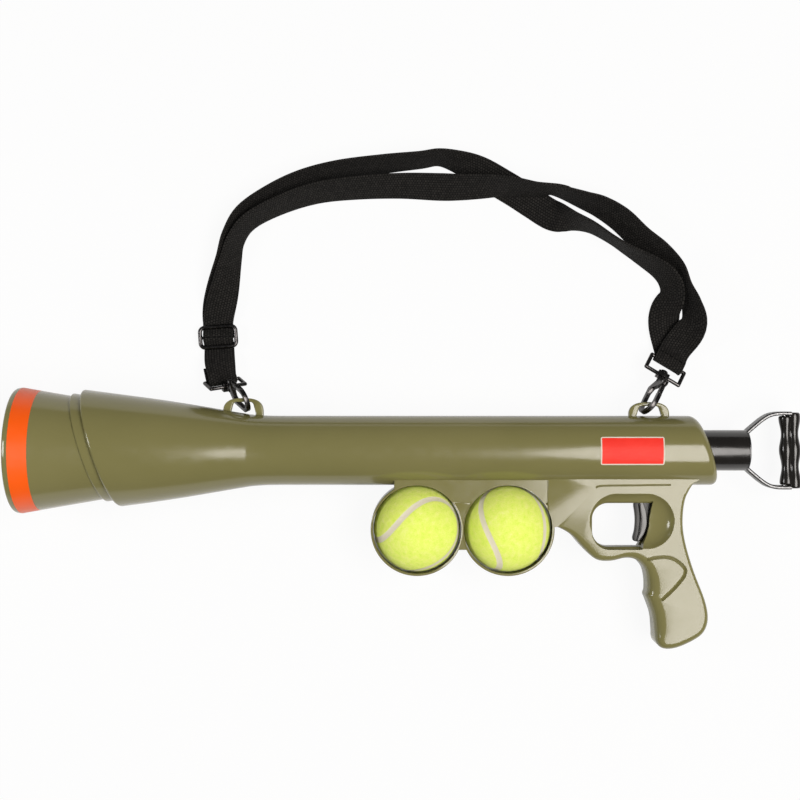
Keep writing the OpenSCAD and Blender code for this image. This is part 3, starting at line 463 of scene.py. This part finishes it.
loops = {"reach": 40.0, "wire": 1.5, "slack": 0.45,  # where the webbing turns round the hooks' loops
         "front": {"beam": (172, 38.49, 0), "way": (-20.2, 14.9, -30.5), "spin": 95, "swing": 56,
                   "legs": (12, 6, 6)},
         "rear": {"beam": (482, 35.4, 0), "way": (18.1, 30.9, -17), "spin": 105, "swing": 0,
                  "legs": (8, 5, 15)}}


def floorRings(route):
    rings = []
    for i, (x, y, lean, lift) in enumerate(route):
        before, after = route[max(i - 1, 0)], route[min(i + 1, len(route) - 1)]
        along = Vector((after[0] - before[0], after[1] - before[1], 0)).normalized()
        across = Vector((-along.y, along.x, 0))
        s, c = math.sin(math.radians(lean)), math.cos(math.radians(lean))
        rest = 1.03 * strap["width"] / 2 * abs(s) + strap["thick"] / 2 * abs(c) + 0.1
        rings.append((Vector((x, y, rest + lift)), c * across + s * Vector((0, 0, 1))))
    return rings


def loopAxes(way, spin):
    y = Vector(way).normalized()
    e = Vector((1, 0, 0)).cross(y).normalized()
    f = y.cross(e)
    x = math.cos(math.radians(spin)) * e + math.sin(math.radians(spin)) * f
    return turnDown @ x, turnDown @ y


def wrapRings(loop):
    x, y = loopAxes(loop["way"], loop["spin"])
    z = x.cross(y)
    bar = (layDown @ Vector(loop["beam"])) * 1000 + loops["reach"] * y
    r = loops["wire"] + loops["slack"] + strap["thick"] / 2
    c, s = math.cos(math.radians(loop["swing"])), math.sin(math.radians(loop["swing"]))
    out, up = c * y + s * z, s * y - c * z
    across = -x if loop["swing"] > 0 else x
    legs = loop["legs"]
    rings = [(bar + r * up + legs[0] * out, across)]
    for a in range(0, 181, 36):
        t = math.radians(a)
        rings.append((bar + r * (math.cos(t) * up - math.sin(t) * out), across))
    d = legs[1]
    while d <= legs[2] + 1e-6:
        rings.append((bar - r * up + d * out, across))
        d += 10
    return rings


bandSection = [(1.0, 0.0), (0.988, 0.62), (0.955, 0.97), (0.70, 1.0), (0.35, 1.0), (0.0, 1.0), (-0.35, 1.0),
               (-0.70, 1.0), (-0.955, 0.97), (-0.988, 0.62)]
bandSection += [(-a, -b) for a, b in bandSection]


def webbing(name, rings):
    places = smoothLine([r[0] for r in rings], strap["steps"])
    acrosses = smoothLine([r[1] for r in rings], strap["steps"])
    last = len(places) - 1
    rows, run = [], [0.0]
    for i, (p, w) in enumerate(zip(places, acrosses)):
        t = (places[min(i + 1, last)] - places[max(i - 1, 0)]).normalized()
        w = (w - t * w.dot(t)).normalized() * strap["width"] / 2
        s = t.cross(w).normalized() * strap["thick"] / 2
        rows.append([(p + w * a + s * b) * 0.001 for a, b in bandSection])
        if i:
            run.append(run[-1] + (p - places[i - 1]).length * 0.001)
    obj = lofted(name, rows)
    layer = obj.data.uv_layers.new(name="webbing")
    count = len(bandSection)
    for loop in obj.data.loops:
        row, k = divmod(loop.vertex_index, count)
        layer.data[loop.index].uv = (run[row], bandSection[k][0] * strap["width"] * 0.0005)
    obj.data.materials.append(webbingBlack)
    smoothShade(obj, 50)
    return obj, [p * 0.001 for p in places], run[-1]


rearWrap = wrapRings(loops["rear"])
frontWrap = wrapRings(loops["front"])
seam, away = rearWrap[-2], rearWrap[-1]
outerRun, outerPath, outerLength = webbing("strapOuterRun", floorRings(strap["outer"]) + rearWrap[:-1])
seamStart = (seam[0] + (away[0] - seam[0]) * 0.05, seam[1])
innerRun, innerPath, innerLength = webbing("strapInnerRun", floorRings(strap["inner"]) + [away, seamStart])
frontTab, _, tabLength = webbing("strapFrontTab", frontWrap + floorRings(strap["tab"]))
for piece, node in ((outerRun, "strap_outer_run"), (innerRun, "strap_inner_run"),
                    (frontTab, "strap_front_tab")):
    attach(piece, "launcher_body")
    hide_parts(node)
print("launcher: strap of", round(outerLength + innerLength + tabLength, 3), "m")

# both shells start as one body of barrel, ball rack, grip frame and lugs, which is split at the end
barrel = {"radius": 26.4, "wall": 2.4, "length": 526.0, "slant": 17.5, "rearRound": 6.0, "lip": 64.0,
          "lipRound": 2.6, "blank": (30, 560), "mouthGrow": 1.3, "collarAt": 55.5, "collarEase": 1.4,
          "collarWall": 2.25, "collar": [(72, 38.45), (84, 38.45), (84, 0)], "funnel": [(4, 48.0), (72, 36.2)],
          "flare": [(0, 1), (0.455, 0.55), (0.8, 0.126), (0.87, 0.045), (0.94, 0.01), (1, 0)],
          "flareStart": 40.0, "flareLength": 160.0, "flareRadius": 47.9}
bore = barrel["radius"] - barrel["wall"]
flareLine = [(barrel["flareStart"] + s * barrel["flareLength"],
              barrel["radius"] + h * (barrel["flareRadius"] - barrel["radius"])) for s, h in barrel["flare"]]


def lookUp(x, line):
    for (x0, y0), (x1, y1) in zip(line, line[1:]):
        if x <= x1:
            return y0 + (y1 - y0) * max(x - x0, 0) / (x1 - x0)
    return line[-1][1]


def funnelAt(x):
    return lookUp(x, barrel["funnel"])


def slantEnd(obj, x, keepFront, edgeRound, segments):
    angle = math.radians(barrel["slant"])
    normal = Vector((math.cos(angle), math.sin(angle), 0))
    holdOnly(obj)
    bpy.ops.object.mode_set(mode="EDIT")
    bpy.ops.mesh.select_all(action="SELECT")
    bpy.ops.mesh.bisect(plane_co=(x, 0, 0), plane_no=normal, use_fill=True, clear_inner=not keepFront,
                        clear_outer=keepFront)
    bpy.ops.mesh.select_all(action="DESELECT")
    work = bmesh.from_edit_mesh(obj.data)
    for edge in work.edges:
        edge.select_set(all(abs((v.co - Vector((x, 0, 0))).dot(normal)) < 0.001 for v in edge.verts))
    bmesh.update_edit_mesh(obj.data)
    bpy.ops.mesh.bevel(offset=edgeRound, segments=segments, profile=0.5, affect="EDGES")
    bpy.ops.object.mode_set(mode="OBJECT")


flareSmooth = [(p.x, p.y) for p in smoothLine([(x, r, 0) for x, r in flareLine], 5) if p.x > 90]
start, stop = barrel["blank"]
body = turned("barrelBody", [(start, 0), (start, flareLine[0][1] + barrel["mouthGrow"])] + flareSmooth
              + [(x, barrel["radius"]) for x in (290, 420, stop)] + [(stop, 0)], 160)
slantEnd(body, barrel["lip"], False, barrel["lipRound"], 5)
slantEnd(body, barrel["length"], True, barrel["rearRound"], 7)
collarStart = [(start, 0), (start, funnelAt(start) + barrel["collarWall"])]
collar = turned("barrelCollar", collarStart + barrel["collar"], 160)
slantEnd(collar, barrel["collarAt"], False, barrel["collarEase"], 3)
combine(body, collar, "UNION")

rack = {"half": 14.5, "balls": [304.7, 373.5], "drop": 59.4, "ringOut": 35.1, "ringIn": 33.4, "ease": 0.9,
        "block": (287.3, 418.5, -39.4, -20), "bridge": (333.1, 345.1, -74.8, -36), "bridgeInset": 0.4}
rackForms = [drum((x, -rack["drop"], 0), rack["ringOut"], 2 * rack["half"], 128) for x in rack["balls"]]
rackForms.append(slab("rackBlock", rack["block"], rack["half"]))
rackForms.append(slab("rackBridge", rack["bridge"], rack["half"] - rack["bridgeInset"]))
for form in rackForms:
    easeEdges(form, rack["ease"])
    combine(body, form, "UNION")

grip = {"x": 437.0, "half": 15.5, "top": -12.0, "steps": 4,
        "line": [(-34, -56), (-25, -58), (-15, -64), (-7, -73), (3, -82), (14, -83.3), (25.5, -81),
                 (33.6, -82.5), (39.8, -88.5), (42, -97), (42.2, -106), (41.2, -110), (42.7, -114),
                 (46.4, -125), (47.8, -137), (48.8, -145), (54, -149.6), (64, -149), (77, -143.3),
                 (84.6, -137), (87.7, -127), (85.2, -113), (77, -91.5), (71.3, -73), (68.7, -59),
                 (68.7, -47), (70.2, -37), (72.8, -30.5), (76.2, -24.8), (80.5, -20.8)],
        "round": [2, 3, 4, 5, 5, 5, 5.5, 6, 7, 8.5, 9, 9, 9, 9, 8, 6, 5, 5, 5, 4.5, 4, 3, 3, 3, 3, 3, 3, 2.5,
                  1.5, 1]}  # radius of the edge at each point of the line


def spread(points, i, reach):  # sum of the neighbours on a closed line
    return sum((points[(i + k) % len(points)] for k in range(-reach, reach + 1)), Vector((0, 0)))


def gripRings():
    edge = smoothLine([(x, y, r) for (x, y), r in zip(grip["line"], grip["round"])], grip["steps"])
    edge = edge + [Vector((grip["line"][-1][0], grip["top"], 1)), Vector((grip["line"][0][0], grip["top"], 2))]
    count = len(edge)
    calm = [spread([p.xy for p in edge], i, 3) / 7 for i in range(count)]
    ways = []
    for i in range(count):
        d = calm[(i + 1) % count] - calm[i - 1]
        ways.append(Vector((-d.y, d.x)).normalized())
    ways = [spread(ways, i, 4).normalized() for i in range(count)]
    rings = []
    heights = [(-1, a) for a in range(90, -1, -15)] + [(1, a) for a in range(0, 91, 15)]
    for side, a in heights:
        c, s = math.cos(math.radians(a)), math.sin(math.radians(a))
        ring = []
        for p, way in zip(edge, ways):
            inset = p.xy + way * p.z * (1 - c)
            ring.append((grip["x"] + inset.x, inset.y, side * (grip["half"] - p.z * (1 - s))))
        rings.append(ring)
    return rings


gripFrame = lofted("gripFrame", gripRings())
creases = {"rib": [(439.5, -27.6), (441.5, -26.6), (448, -26.1), (470, -25.8), (496, -25.5)], "ribSize": 1.1,
           "thumb": [(478, -82.2), (484, -80.6), (492.8, -80.1), (499.9, -82.4), (506.3, -88.2), (506.4, -93.4),
                     (503, -98.5), (496.9, -105.3), (489, -112.6)], "thumbSize": 2.1, "sunk": 0.3}
for key in ("rib", "thumb"):
    for side in (1, -1):
        size = creases[key + "Size"]
        line = smoothLine([(x, y, side * (grip["half"] + size * creases["sunk"])) for x, y in creases[key]], 5)
        combine(gripFrame, tubeAlong("crease", line, size, 4))

window = {"dishX": (18.6, 41.1), "dishY": -53.0,
          "dish": [(-0.6, 21.8), (0, 20.9), (0.4, 20.4), (1.1, 19.8), (2.5, 18.7), (4.2, 16.6), (5.8, 13.6),
                   (7.0, 9.8), (7.7, 6.0), (8, 2.5)],  # depth and radius
          "flare": [(7.9, 1.6), (7.3, 0.75), (6.6, 0.25), (5.6, 0.0)], "past": (16.5, 1.6),
          "front": 13.0, "corner": 12.0, "arcs": ((-52.0, 90), (-61.0, 180)),
          "rear": [(37.6, -73), (39.4, -69.4), (42.1, -64.3), (44.1, -57.2), (44.4, -51.4), (45.4, -45.5),
                   (46.6, -39.9)]}


def dishRing(radius, height):
    ring = []
    for k in range(64):
        a = 2 * math.pi * (k + 0.5) / 64
        x = window["dishX"][1] if math.cos(a) > 0 else window["dishX"][0]
        ring.append((grip["x"] + x + radius * math.cos(a), window["dishY"] + radius * math.sin(a), height))
    return ring


for side in (1, -1):
    rings = [dishRing(r, side * (grip["half"] - d)) for d, r in window["dish"]]
    combine(gripFrame, lofted("triggerDish", rings))


def windowRing(grow, height):
    ring, radius, rear = [], window["corner"] + grow, window["rear"]
    for cy, start in window["arcs"]:
        for k in range(13):
            a = math.radians(start + 7.5 * k)
            ring.append((grip["x"] + window["front"] + radius * math.cos(a), cy + radius * math.sin(a), height))
    for x, y in [(rear[0][0], rear[0][1] - grow)] + rear[1:-1] + [(rear[-1][0], rear[-1][1] + grow)]:
        ring.append((grip["x"] + x, y, height))
    return ring


flares = [window["past"]] + window["flare"]
gap = [windowRing(g, -d) for d, g in flares] + [windowRing(g, d) for d, g in reversed(flares)]
combine(gripFrame, lofted("triggerWindow", gap))
combine(body, gripFrame, "UNION")

lugs = {"thick": 2.3, "base": 15.5, "top": 8.5, "beam": 3.0, "post": 4.0, "ease": 0.9, "bow": 0.74,
        "spots": [(172.0, lookUp(172.0, flareLine), 11.5), (482.0, barrel["radius"], 10.5)]}
for x, surface, rise in lugs["spots"]:
    half, foot, under = lugs["base"], surface - 4, surface + rise - lugs["beam"]
    wide, narrow = half - lugs["post"] - 2, lugs["top"] - lugs["post"] / 3  # half widths of the hole
    arch = []
    for k in range(33):
        t = math.radians(k * 180 / 32)
        c, d = math.cos(t), math.sin(t)
        arch.append((x + half * math.copysign(abs(c) ** lugs["bow"], c), surface + rise * d ** lugs["bow"]))
    lug = plate("strapLug", [(x - half, foot), (x + half, foot)] + arch, -lugs["thick"], lugs["thick"])
    right = [(wide, foot - 1), (wide, surface), (narrow + 0.5, under - 1.2), (narrow - 1, under)]
    around = right + [(-d, y) for d, y in reversed(right)]
    combine(lug, plate("lugHole", [(x + d, y) for d, y in around], -9, 9))
    easeEdges(lug, lugs["ease"])
    combine(body, lug, "UNION")
print("launcher: outside of the shells")

hollow = {"mouth": 20, "funnelFit": 0.25, "seat": 36.45, "groove": (90.75, 94.25, 38.25),
          "step": (103.3, 106.3, 33.3), "throat": (186, 191, 2.5), "springStop": (450, 454, 16.5),
          "bushSeat": (512, 16.1), "wellRadius": 3.2, "wellDepth": 40, "wellMiddle": -29.0, "worksHalf": 5.2,
          "works": [(30, -36), (38, -36), (38, -18), (62, -18), (62, -52), (58, -66), (50, -72.5), (30, -72.5)],
          "screws": [(339.1, -37.0), (423.0, -42.0), (503.5, -31.0), (495.0, -90.0), (503.0, -141.0)]}
wall, seat, mouth = barrel["wall"], hollow["seat"], hollow["mouth"]
(g0, g1, grooveRadius), (s0, s1, stepRadius) = hollow["groove"], hollow["step"]
(t0, t1, throat), (b0, b1, stopRadius) = hollow["throat"], hollow["springStop"]
bushAt, bushRadius = hollow["bushSeat"]
inside = [(mouth, 0), (mouth, funnelAt(mouth) + hollow["funnelFit"]), (72, seat), (g0, seat), (g0, grooveRadius),
          (g1, grooveRadius), (g1, seat), (s0, seat), (s0, stepRadius), (s1, stepRadius)]
inside.append((s1, lookUp(s1, flareLine) - wall))
inside += [(x, r - wall) for x, r in flareLine if s1 + 1 < x < t0 - 1]
inside += [(t0, lookUp(t0, flareLine) - wall), (t0, bore - throat), (t1, bore - throat), (t1, bore), (b0, bore),
           (b0, stopRadius), (b1, stopRadius), (b1, bore), (bushAt, bore), (bushAt, bushRadius),
           (stop, bushRadius), (stop, 0)]
combine(body, turned("barrelInside", inside, 144))
for x in rack["balls"]:
    combine(body, drum((x, -rack["drop"], 0), rack["ringIn"], 80, 144))
combine(body, plate("worksSlot", [(grip["x"] + x, y) for x, y in hollow["works"]], -hollow["worksHalf"],
                    hollow["worksHalf"]))
print("launcher: inside of the shells")

for x, y in hollow["screws"]:
    combine(body, drum((x, y, hollow["wellMiddle"]), hollow["wellRadius"], hollow["wellDepth"], 40))

halves = {}
for name, node, low in (("shellLeft", "left_shell", 0.0), ("shellRight", "right_shell", -200.0)):
    half = body.copy()
    half.data = body.data.copy()
    half.name = half.data.name = name
    scene.collection.objects.link(half)
    side = plate("halfSpace", [(-50, -300), (700, -300), (700, 300), (-50, 300)], low, low + 200)
    combine(half, side, "INTERSECT")
    cleanUp(half, 0.0002)
    dress(half, olive, 30, "launcher_body", node)
    halves[name] = half
bpy.data.objects.remove(body)
print("launcher: shells", {k: len(v.data.polygons) for k, v in halves.items()})

# spare balls: felt over the rubber, with the seam's curve sunk into it
balls = {"radius": 33.15, "seamA": 0.75, "seamB": 0.25, "seamSteps": 1440, "seamWidth": 2.4, "seamDepth": 0.4,
         "fuzz": 0.12,
         "frontTurn": (73.8, 61.7, -60.7), "rearTurn": (-130.6, 53.4, -15.5)}


def feltBall(name, turn):
    bpy.ops.object.select_all(action="DESELECT")
    bpy.ops.mesh.primitive_ico_sphere_add(subdivisions=6, radius=balls["radius"])
    ball = bpy.context.object
    ball.name = ball.data.name = name
    spin = Euler([math.radians(a) for a in turn], "XYZ").to_matrix()
    a, b = balls["seamA"], balls["seamB"]
    tree = KDTree(balls["seamSteps"])
    for i in range(balls["seamSteps"]):
        t = 2 * math.pi * i / balls["seamSteps"]
        p = Vector((a * math.cos(t) + b * math.cos(3 * t), a * math.sin(t) - b * math.sin(3 * t),
                    2 * math.sqrt(a * b) * math.sin(2 * t)))
        tree.insert(spin @ p * balls["radius"], i)
    tree.balance()
    gaps = []
    for vert in ball.data.vertices:
        d = tree.find(vert.co)[2]
        gaps.append(d)
        way = vert.co.normalized()
        sunk = balls["seamDepth"] * max(0.0, 1 - d / balls["seamWidth"]) ** 0.5
        vert.co += way * (balls["fuzz"] * noise.noise(vert.co * 0.9) - sunk)
    layer = ball.data.attributes.new("seamGap", "FLOAT", "POINT")
    layer.data.foreach_set("value", gaps)
    return ball


for end, x in zip(("front", "rear"), rack["balls"]):
    ball = feltBall("feltBall" + end.capitalize(), balls[end + "Turn"])
    dress(ball, feltGreen, 180, end + "_spare_ball", end + "_ball",
          layDown @ Matrix.Translation((x, -rack["drop"], 0)))
print("launcher: balls")

# blank label that follows the barrel, with a pale edge
label = {"x": (441.8, 489.5), "y": (-10.0, 10.9), "corner": 1.6, "lift": 0.10, "thick": 0.12,
         "insets": (0.0, 0.9, 2.5, 5.0, 8.0, 10.2)}  # the first step inwards is the edge


def labelRing(inset):
    (x0, x1), (y0, y1) = label["x"], label["y"]
    a0, a1 = (math.asin(y / barrel["radius"]) * barrel["radius"] for y in (y0, y1))
    x0, x1, a0, a1 = x0 + inset, x1 - inset, a0 + inset, a1 - inset
    r = max(label["corner"] - inset, 0.4)
    ring = []
    for cx, ca, start in ((x1 - r, a1 - r, 0), (x0 + r, a1 - r, 90), (x0 + r, a0 + r, 180),
                          (x1 - r, a0 + r, 270)):
        for k in range(9):
            t = math.radians(start + 11.25 * k)
            ring.append((cx + r * math.cos(t), ca + r * math.sin(t)))
    full = []
    for i, ((px, pa), (qx, qa)) in enumerate(zip(ring, ring[1:] + ring[:1])):
        parts = 12 if i % 9 == 8 else 1
        full += [(px + (qx - px) * k / parts, pa + (qa - pa) * k / parts) for k in range(parts)]
    return full


def onBarrel(x, arc, lift):
    t = arc / barrel["radius"]
    r = barrel["radius"] + lift
    return (x, r * math.sin(t), r * math.cos(t))


labelRings = [[onBarrel(x, a, label["lift"]) for x, a in labelRing(inset)] for inset in label["insets"]]
blank = lofted("blankLabel", labelRings)
blank.data.materials.append(labelRed)
blank.data.materials.append(labelEdge)
firstRow = len(labelRings[0])
for k, face in enumerate(blank.data.polygons):
    face.material_index = 1 if k < firstRow else 0
holdOnly(blank)
bpy.ops.object.mode_set(mode="EDIT")
bpy.ops.mesh.select_all(action="DESELECT")
bpy.ops.object.mode_set(mode="OBJECT")
blank.data.polygons[len(blank.data.polygons) - 2].select = True  # the wide cap over the first ring
bpy.ops.object.mode_set(mode="EDIT")
bpy.ops.mesh.delete(type="ONLY_FACE")
bpy.ops.mesh.select_all(action="SELECT")
bpy.ops.mesh.normals_make_consistent(inside=False)
bpy.ops.object.mode_set(mode="OBJECT")
step = blank.modifiers.new("thick", "SOLIDIFY")
step.thickness, step.offset = label["thick"], 1.0
bpy.ops.object.modifier_apply(modifier=step.name)
smoothShade(blank, 40)
settle(blank)
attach(blank, "launcher_body")
print("launcher: label")


# pieces of the snap hooks are their solids with softer edges
softened = {"HookBody": (0.8, 3), "HookGate": (0.5, 3), "HookLoop": (0.4, 2), "angle": 40}  # mm, segments


def easedCopy(name, node, size, finish, bodyName):
    obj = nodes[node].copy()
    obj.data = nodes[node].data.copy()
    for key in list(obj.keys()):
        del obj[key]
    obj.parent = None
    obj.matrix_world = Matrix.Identity(4)
    obj.name = obj.data.name = name
    scene.collection.objects.link(obj)
    obj.hide_render = obj.hide_viewport = False
    holdOnly(obj)
    bpy.ops.object.mode_set(mode="EDIT")
    bpy.ops.mesh.select_all(action="SELECT")
    bpy.ops.mesh.remove_doubles(threshold=0.000002)
    bpy.ops.mesh.dissolve_limited(angle_limit=math.radians(0.6))
    bpy.ops.object.mode_set(mode="OBJECT")
    easeEdges(obj, size[0] * 0.001, size[1], softened["angle"])
    obj.data.materials.clear()
    obj.data.materials.append(finish)
    smoothShade(obj, 35)
    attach(obj, bodyName)
    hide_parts(node)


for end in ("front", "rear"):
    easedCopy(end + "HookBody", end + "_hook_body", softened["HookBody"], darkChrome, end + "_hook")
    easedCopy(end + "HookGate", end + "_hook_gate", softened["HookGate"], darkChrome, end + "_gate")
    easedCopy(end + "HookLoop", end + "_hook_loop", softened["HookLoop"], darkChrome, "launcher_body")
print("launcher: snap hooks")

# strap slider: a bent wire frame with a lower middle bar, which the webbing passes over
slide = {"at": (-152.6, 139.5, 5.4), "turn": 4.0, "half": (14.2, 8.0), "corner": 3.8, "wire": 1.65,
         "barHeight": 3.4, "barWire": 1.3}
knots, corner = [], slide["corner"]
for k in range(4):
    sx, sy = (1, -1, -1, 1)[k], (1, 1, -1, -1)[k]
    for a in range(0, 91, 15):
        t = math.radians(90 * k + a)
        knots.append((sx * (slide["half"][0] - corner) + corner * math.cos(t),
                      sy * (slide["half"][1] - corner) + corner * math.sin(t), 0))
strapSlide = wireAlong("strapSlide", knots, slide["wire"], 12, True)
barLow = slide["barHeight"] - slide["at"][2]
barEnds = [(side * slide["half"][0], 0, barLow) for side in (-1, 1)]
combine(strapSlide, wireAlong("slideBar", barEnds, slide["barWire"], 12), "UNION")
slideTurn = Matrix.Rotation(math.radians(slide["turn"]), 4, "Z")
dress(strapSlide, darkChrome, 50, "launcher_body", "strap_slider",
      Matrix.Scale(0.001, 4) @ Matrix.Translation(slide["at"]) @ slideTurn)
print("launcher: strap slider")

# trigger: a thin dull core with a smooth finger pad standing proud on both sides
trigger = {"pin": (47.0, -34.0), "boss": 4.8, "hole": 1.55,
           "pad": {"half": 4.5, "ease": 1.1, "tail": [],
                   "front": [(37.3, -38), (36.8, -41.5), (37.7, -48), (37.9, -54), (37.2, -61), (36, -66),
                             (35.2, -69)],
                   "back": [(36.6, -69.3), (38.6, -67.8), (41.2, -63.6), (43, -57.2), (43, -51.3),
                            (42.2, -45.5), (40, -39)]},
           "core": {"half": 2.7, "ease": 1.3,
                    "tail": [(58, -33), (58, -29.8), (50, -29.8), (42.6, -32.5), (39, -36.6)],
                    "front": [(34.2, -39), (33.4, -41.5), (34.3, -48), (34.6, -54), (34, -61), (32.7, -66.4),
                              (33.2, -69)],
                    "back": [(36.2, -69.8), (39.6, -68), (42.9, -64), (45.2, -57.2), (44.9, -51.5),
                             (45.8, -45.5), (51, -37)]}}


def triggerPlate(name, form, slot):
    line = [p for edge in ("front", "back") for p in smoothLine([(x, y, 0) for x, y in form[edge]], 3)]
    outline = [(p.x, p.y) for p in line] + form["tail"]
    obj = plate(name, [(grip["x"] + x, y) for x, y in outline], -form["half"], form["half"])
    easeEdges(obj, form["ease"], 4)
    obj.data.materials.append(glossBlack)
    obj.data.materials.append(dullBlack)
    for face in obj.data.polygons:
        face.material_index = slot
    return obj


triggerBlade = triggerPlate("triggerBlade", trigger["pad"], 0)
combine(triggerBlade, triggerPlate("triggerCore", trigger["core"], 1), "UNION")
pinPlace = (grip["x"] + trigger["pin"][0], trigger["pin"][1], 0)
combine(triggerBlade, drum(pinPlace, trigger["boss"], 2 * trigger["pad"]["half"], 48), "UNION")
combine(triggerBlade, drum(pinPlace, trigger["hole"], 30, 48))
smoothShade(triggerBlade, 35)
settle(triggerBlade)
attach(triggerBlade, "trigger_lever")
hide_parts("trigger")
print("launcher: trigger")

# tube, chrome yoke and pull grip, which draw back together
tube = {"start": 204.6, "end": 556.0, "radius": 15.5, "bore": 13.9, "ease": 0.4}
yoke = {"thick": 2.9, "width": 13.0, "ease": 1.25, "spigot": 13.8, "spigotLength": 18, "rim": 15.2,
        "rimThick": 1.2, "rimEase": 0.3,
        "arm": [(-8, 11.4), (-3.5, 11.5), (-0.5, 12.8), (2, 15.2), (5.8, 18.5), (11.4, 23.1), (16.7, 26.4),
                (22, 27.9), (27, 28.2), (33.9, 28.2)]}  # past the tube's end, and out from its axis


def armOf(name, side):
    line = smoothLine([(tube["end"] + x, side * y, 0) for x, y in yoke["arm"]], 4)
    flat, tall, ease = yoke["thick"] / 2 - yoke["ease"], yoke["width"] / 2 - yoke["ease"], yoke["ease"]
    section = []
    for cs, cz, start in ((flat, tall, 0), (-flat, tall, 90), (-flat, -tall, 180), (flat, -tall, 270)):
        for k in range(7):
            t = math.radians(start + 15 * k)
            section.append((cs + ease * math.cos(t), cz + ease * math.sin(t)))
    rings = []
    for i, p in enumerate(line):
        t = (line[min(i + 1, len(line) - 1)] - line[max(i - 1, 0)]).normalized()
        s = Vector((-t.y, t.x, 0))
        rings.append([p + s * a + Vector((0, 0, b)) for a, b in section])
    return lofted(name, rings)


end, outer, ease = tube["end"], tube["radius"], tube["ease"]
drawTube = turned("drawTube", [(tube["start"], tube["bore"]), (tube["start"], outer), (end - ease, outer),
                               (end - ease / 4, outer - ease / 4), (end, outer - ease), (end, tube["bore"])], 128)
dress(drawTube, glossBlack, 30, "plunger", "plunger_tube")
rim, rimEase, spigotEnd, rimEnd = yoke["rim"], yoke["rimEase"], end - yoke["spigotLength"], end + yoke["rimThick"]
yokeRibbon = turned("yokeRibbon", [(spigotEnd, 0), (spigotEnd, yoke["spigot"]), (end, yoke["spigot"]),
                                   (end, rim - rimEase), (end + rimEase, rim), (rimEnd - rimEase, rim),
                                   (rimEnd, rim - rimEase), (rimEnd, 0)], 96)
for side in (1, -1):
    combine(yokeRibbon, armOf("yokeArm", side), "UNION")
dress(yokeRibbon, chrome, 35, "plunger", "pull_yoke")

pull = {"ribs": [(31.2, 26.3), (37.0, 29.0)], "radius": 4.45, "wave": 0.85, "waveLength": 25.0, "shift": 0.5,
        "endEase": 1.5, "web": 2.4, "webInset": 2, "steps": 56, "sides": 40}


def gripRib(name, x, half):
    ease, rings = pull["endEase"], []
    stops = [-half + ease * (1 - math.cos(math.radians(a))) for a in range(0, 91, 15)]
    closing = [-v for v in reversed(stops[:-1])]
    stops += [-half + ease + (2 * half - 2 * ease) * k / pull["steps"] for k in range(1, pull["steps"] + 1)]
    stops += closing
    angles = [math.radians(360 / pull["sides"] * k) for k in range(pull["sides"])]
    for y in stops:
        turn = 2 * math.pi * y / pull["waveLength"]
        inEnd = max(0.0, abs(y) - half + ease) / ease
        drawIn = ease * (1 - math.sqrt(max(0.0, 1 - inEnd ** 2)))
        radius = pull["radius"] + pull["wave"] * math.cos(turn) - drawIn
        middle = tube["end"] + x - pull["shift"] * y / half
        rings.append([(middle + radius * math.cos(a), y, radius * math.sin(a)) for a in angles])
    return lofted(name, rings)


(frontX, frontHalf), (backX, backHalf) = pull["ribs"]
contourGrip = gripRib("contourGrip", frontX, frontHalf)
webHalf = frontHalf - pull["webInset"]
combine(contourGrip, slab("gripWeb", (end + frontX, end + backX, -webHalf, webHalf), pull["web"]), "UNION")
combine(contourGrip, gripRib("gripRib", backX, backHalf), "UNION")
dress(contourGrip, glossBlack, 35, "plunger", "pull_grip")
print("launcher: tube, yoke and pull grip")

# coils: from and to along the axis, radius, turns and wire
springs = {"main": (206.1, 446.3, 20.9, 24, 1.1), "mainSeat": 447.5, "mainKeep": 0.42,
           "trigger": (grip["x"] + 46, grip["x"] + 59, 2.2, 6, 0.3), "triggerDrop": -50,
           "triggerSeat": grip["x"] + 59.4, "triggerKeep": 0.75,
           "sear": (2.4, 4.8, 1.9, 2, 0.25), "searAt": (grip["x"] + 50, -24.5, 0), "searTurn": -90}


def coil(name, size, sides):
    x0, x1, radius, turns, wire = size
    perTurn = 24
    total = turns * perTurn
    line = []
    for i in range(total + 1):
        a = 2 * math.pi * i / perTurn
        line.append((x0 + (x1 - x0) * i / total, radius * math.cos(a), radius * math.sin(a)))
    return wireAlong(name, line, wire, sides)


mainCoil = coil("mainCoil", springs["main"], 8)
dress(mainCoil, steel, 60, "launcher_body", "main_spring")
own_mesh(mainCoil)
triggerCoil = coil("triggerCoil", springs["trigger"], 6)
dress(triggerCoil, steel, 60, "launcher_body", "trigger_spring",
      layDown @ Matrix.Translation((0, springs["triggerDrop"], 0)))
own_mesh(triggerCoil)
searCoil = coil("searCoil", springs["sear"], 6)
searTurn = Matrix.Rotation(math.radians(springs["searTurn"]), 4, "Y")
dress(searCoil, steel, 60, "launcher_body", "sear_spring",
      layDown @ Matrix.Translation(springs["searAt"]) @ searTurn)
print("launcher: springs")

# solids that stay as they are, each with its finish
plain = {"shell_screws": steel, "muzzle_funnel": olive, "muzzle_band": orange, "striker_head": dullBlack,
         "striker_pad": dullBlack, "striker_pin": steel, "spring_seat": steel, "bumper_ring": dullBlack,
         "rear_bush": dullBlack, "yoke_pin": glossBlack, "grip_rod": steel, "trigger_pin": steel, "sear": steel,
         "sear_pin": steel, "front_gate_pin": steel, "rear_gate_pin": steel}
for node, finish in plain.items():
    nodes[node].data.materials.clear()
    nodes[node].data.materials.append(finish)
print("launcher: solids finished")
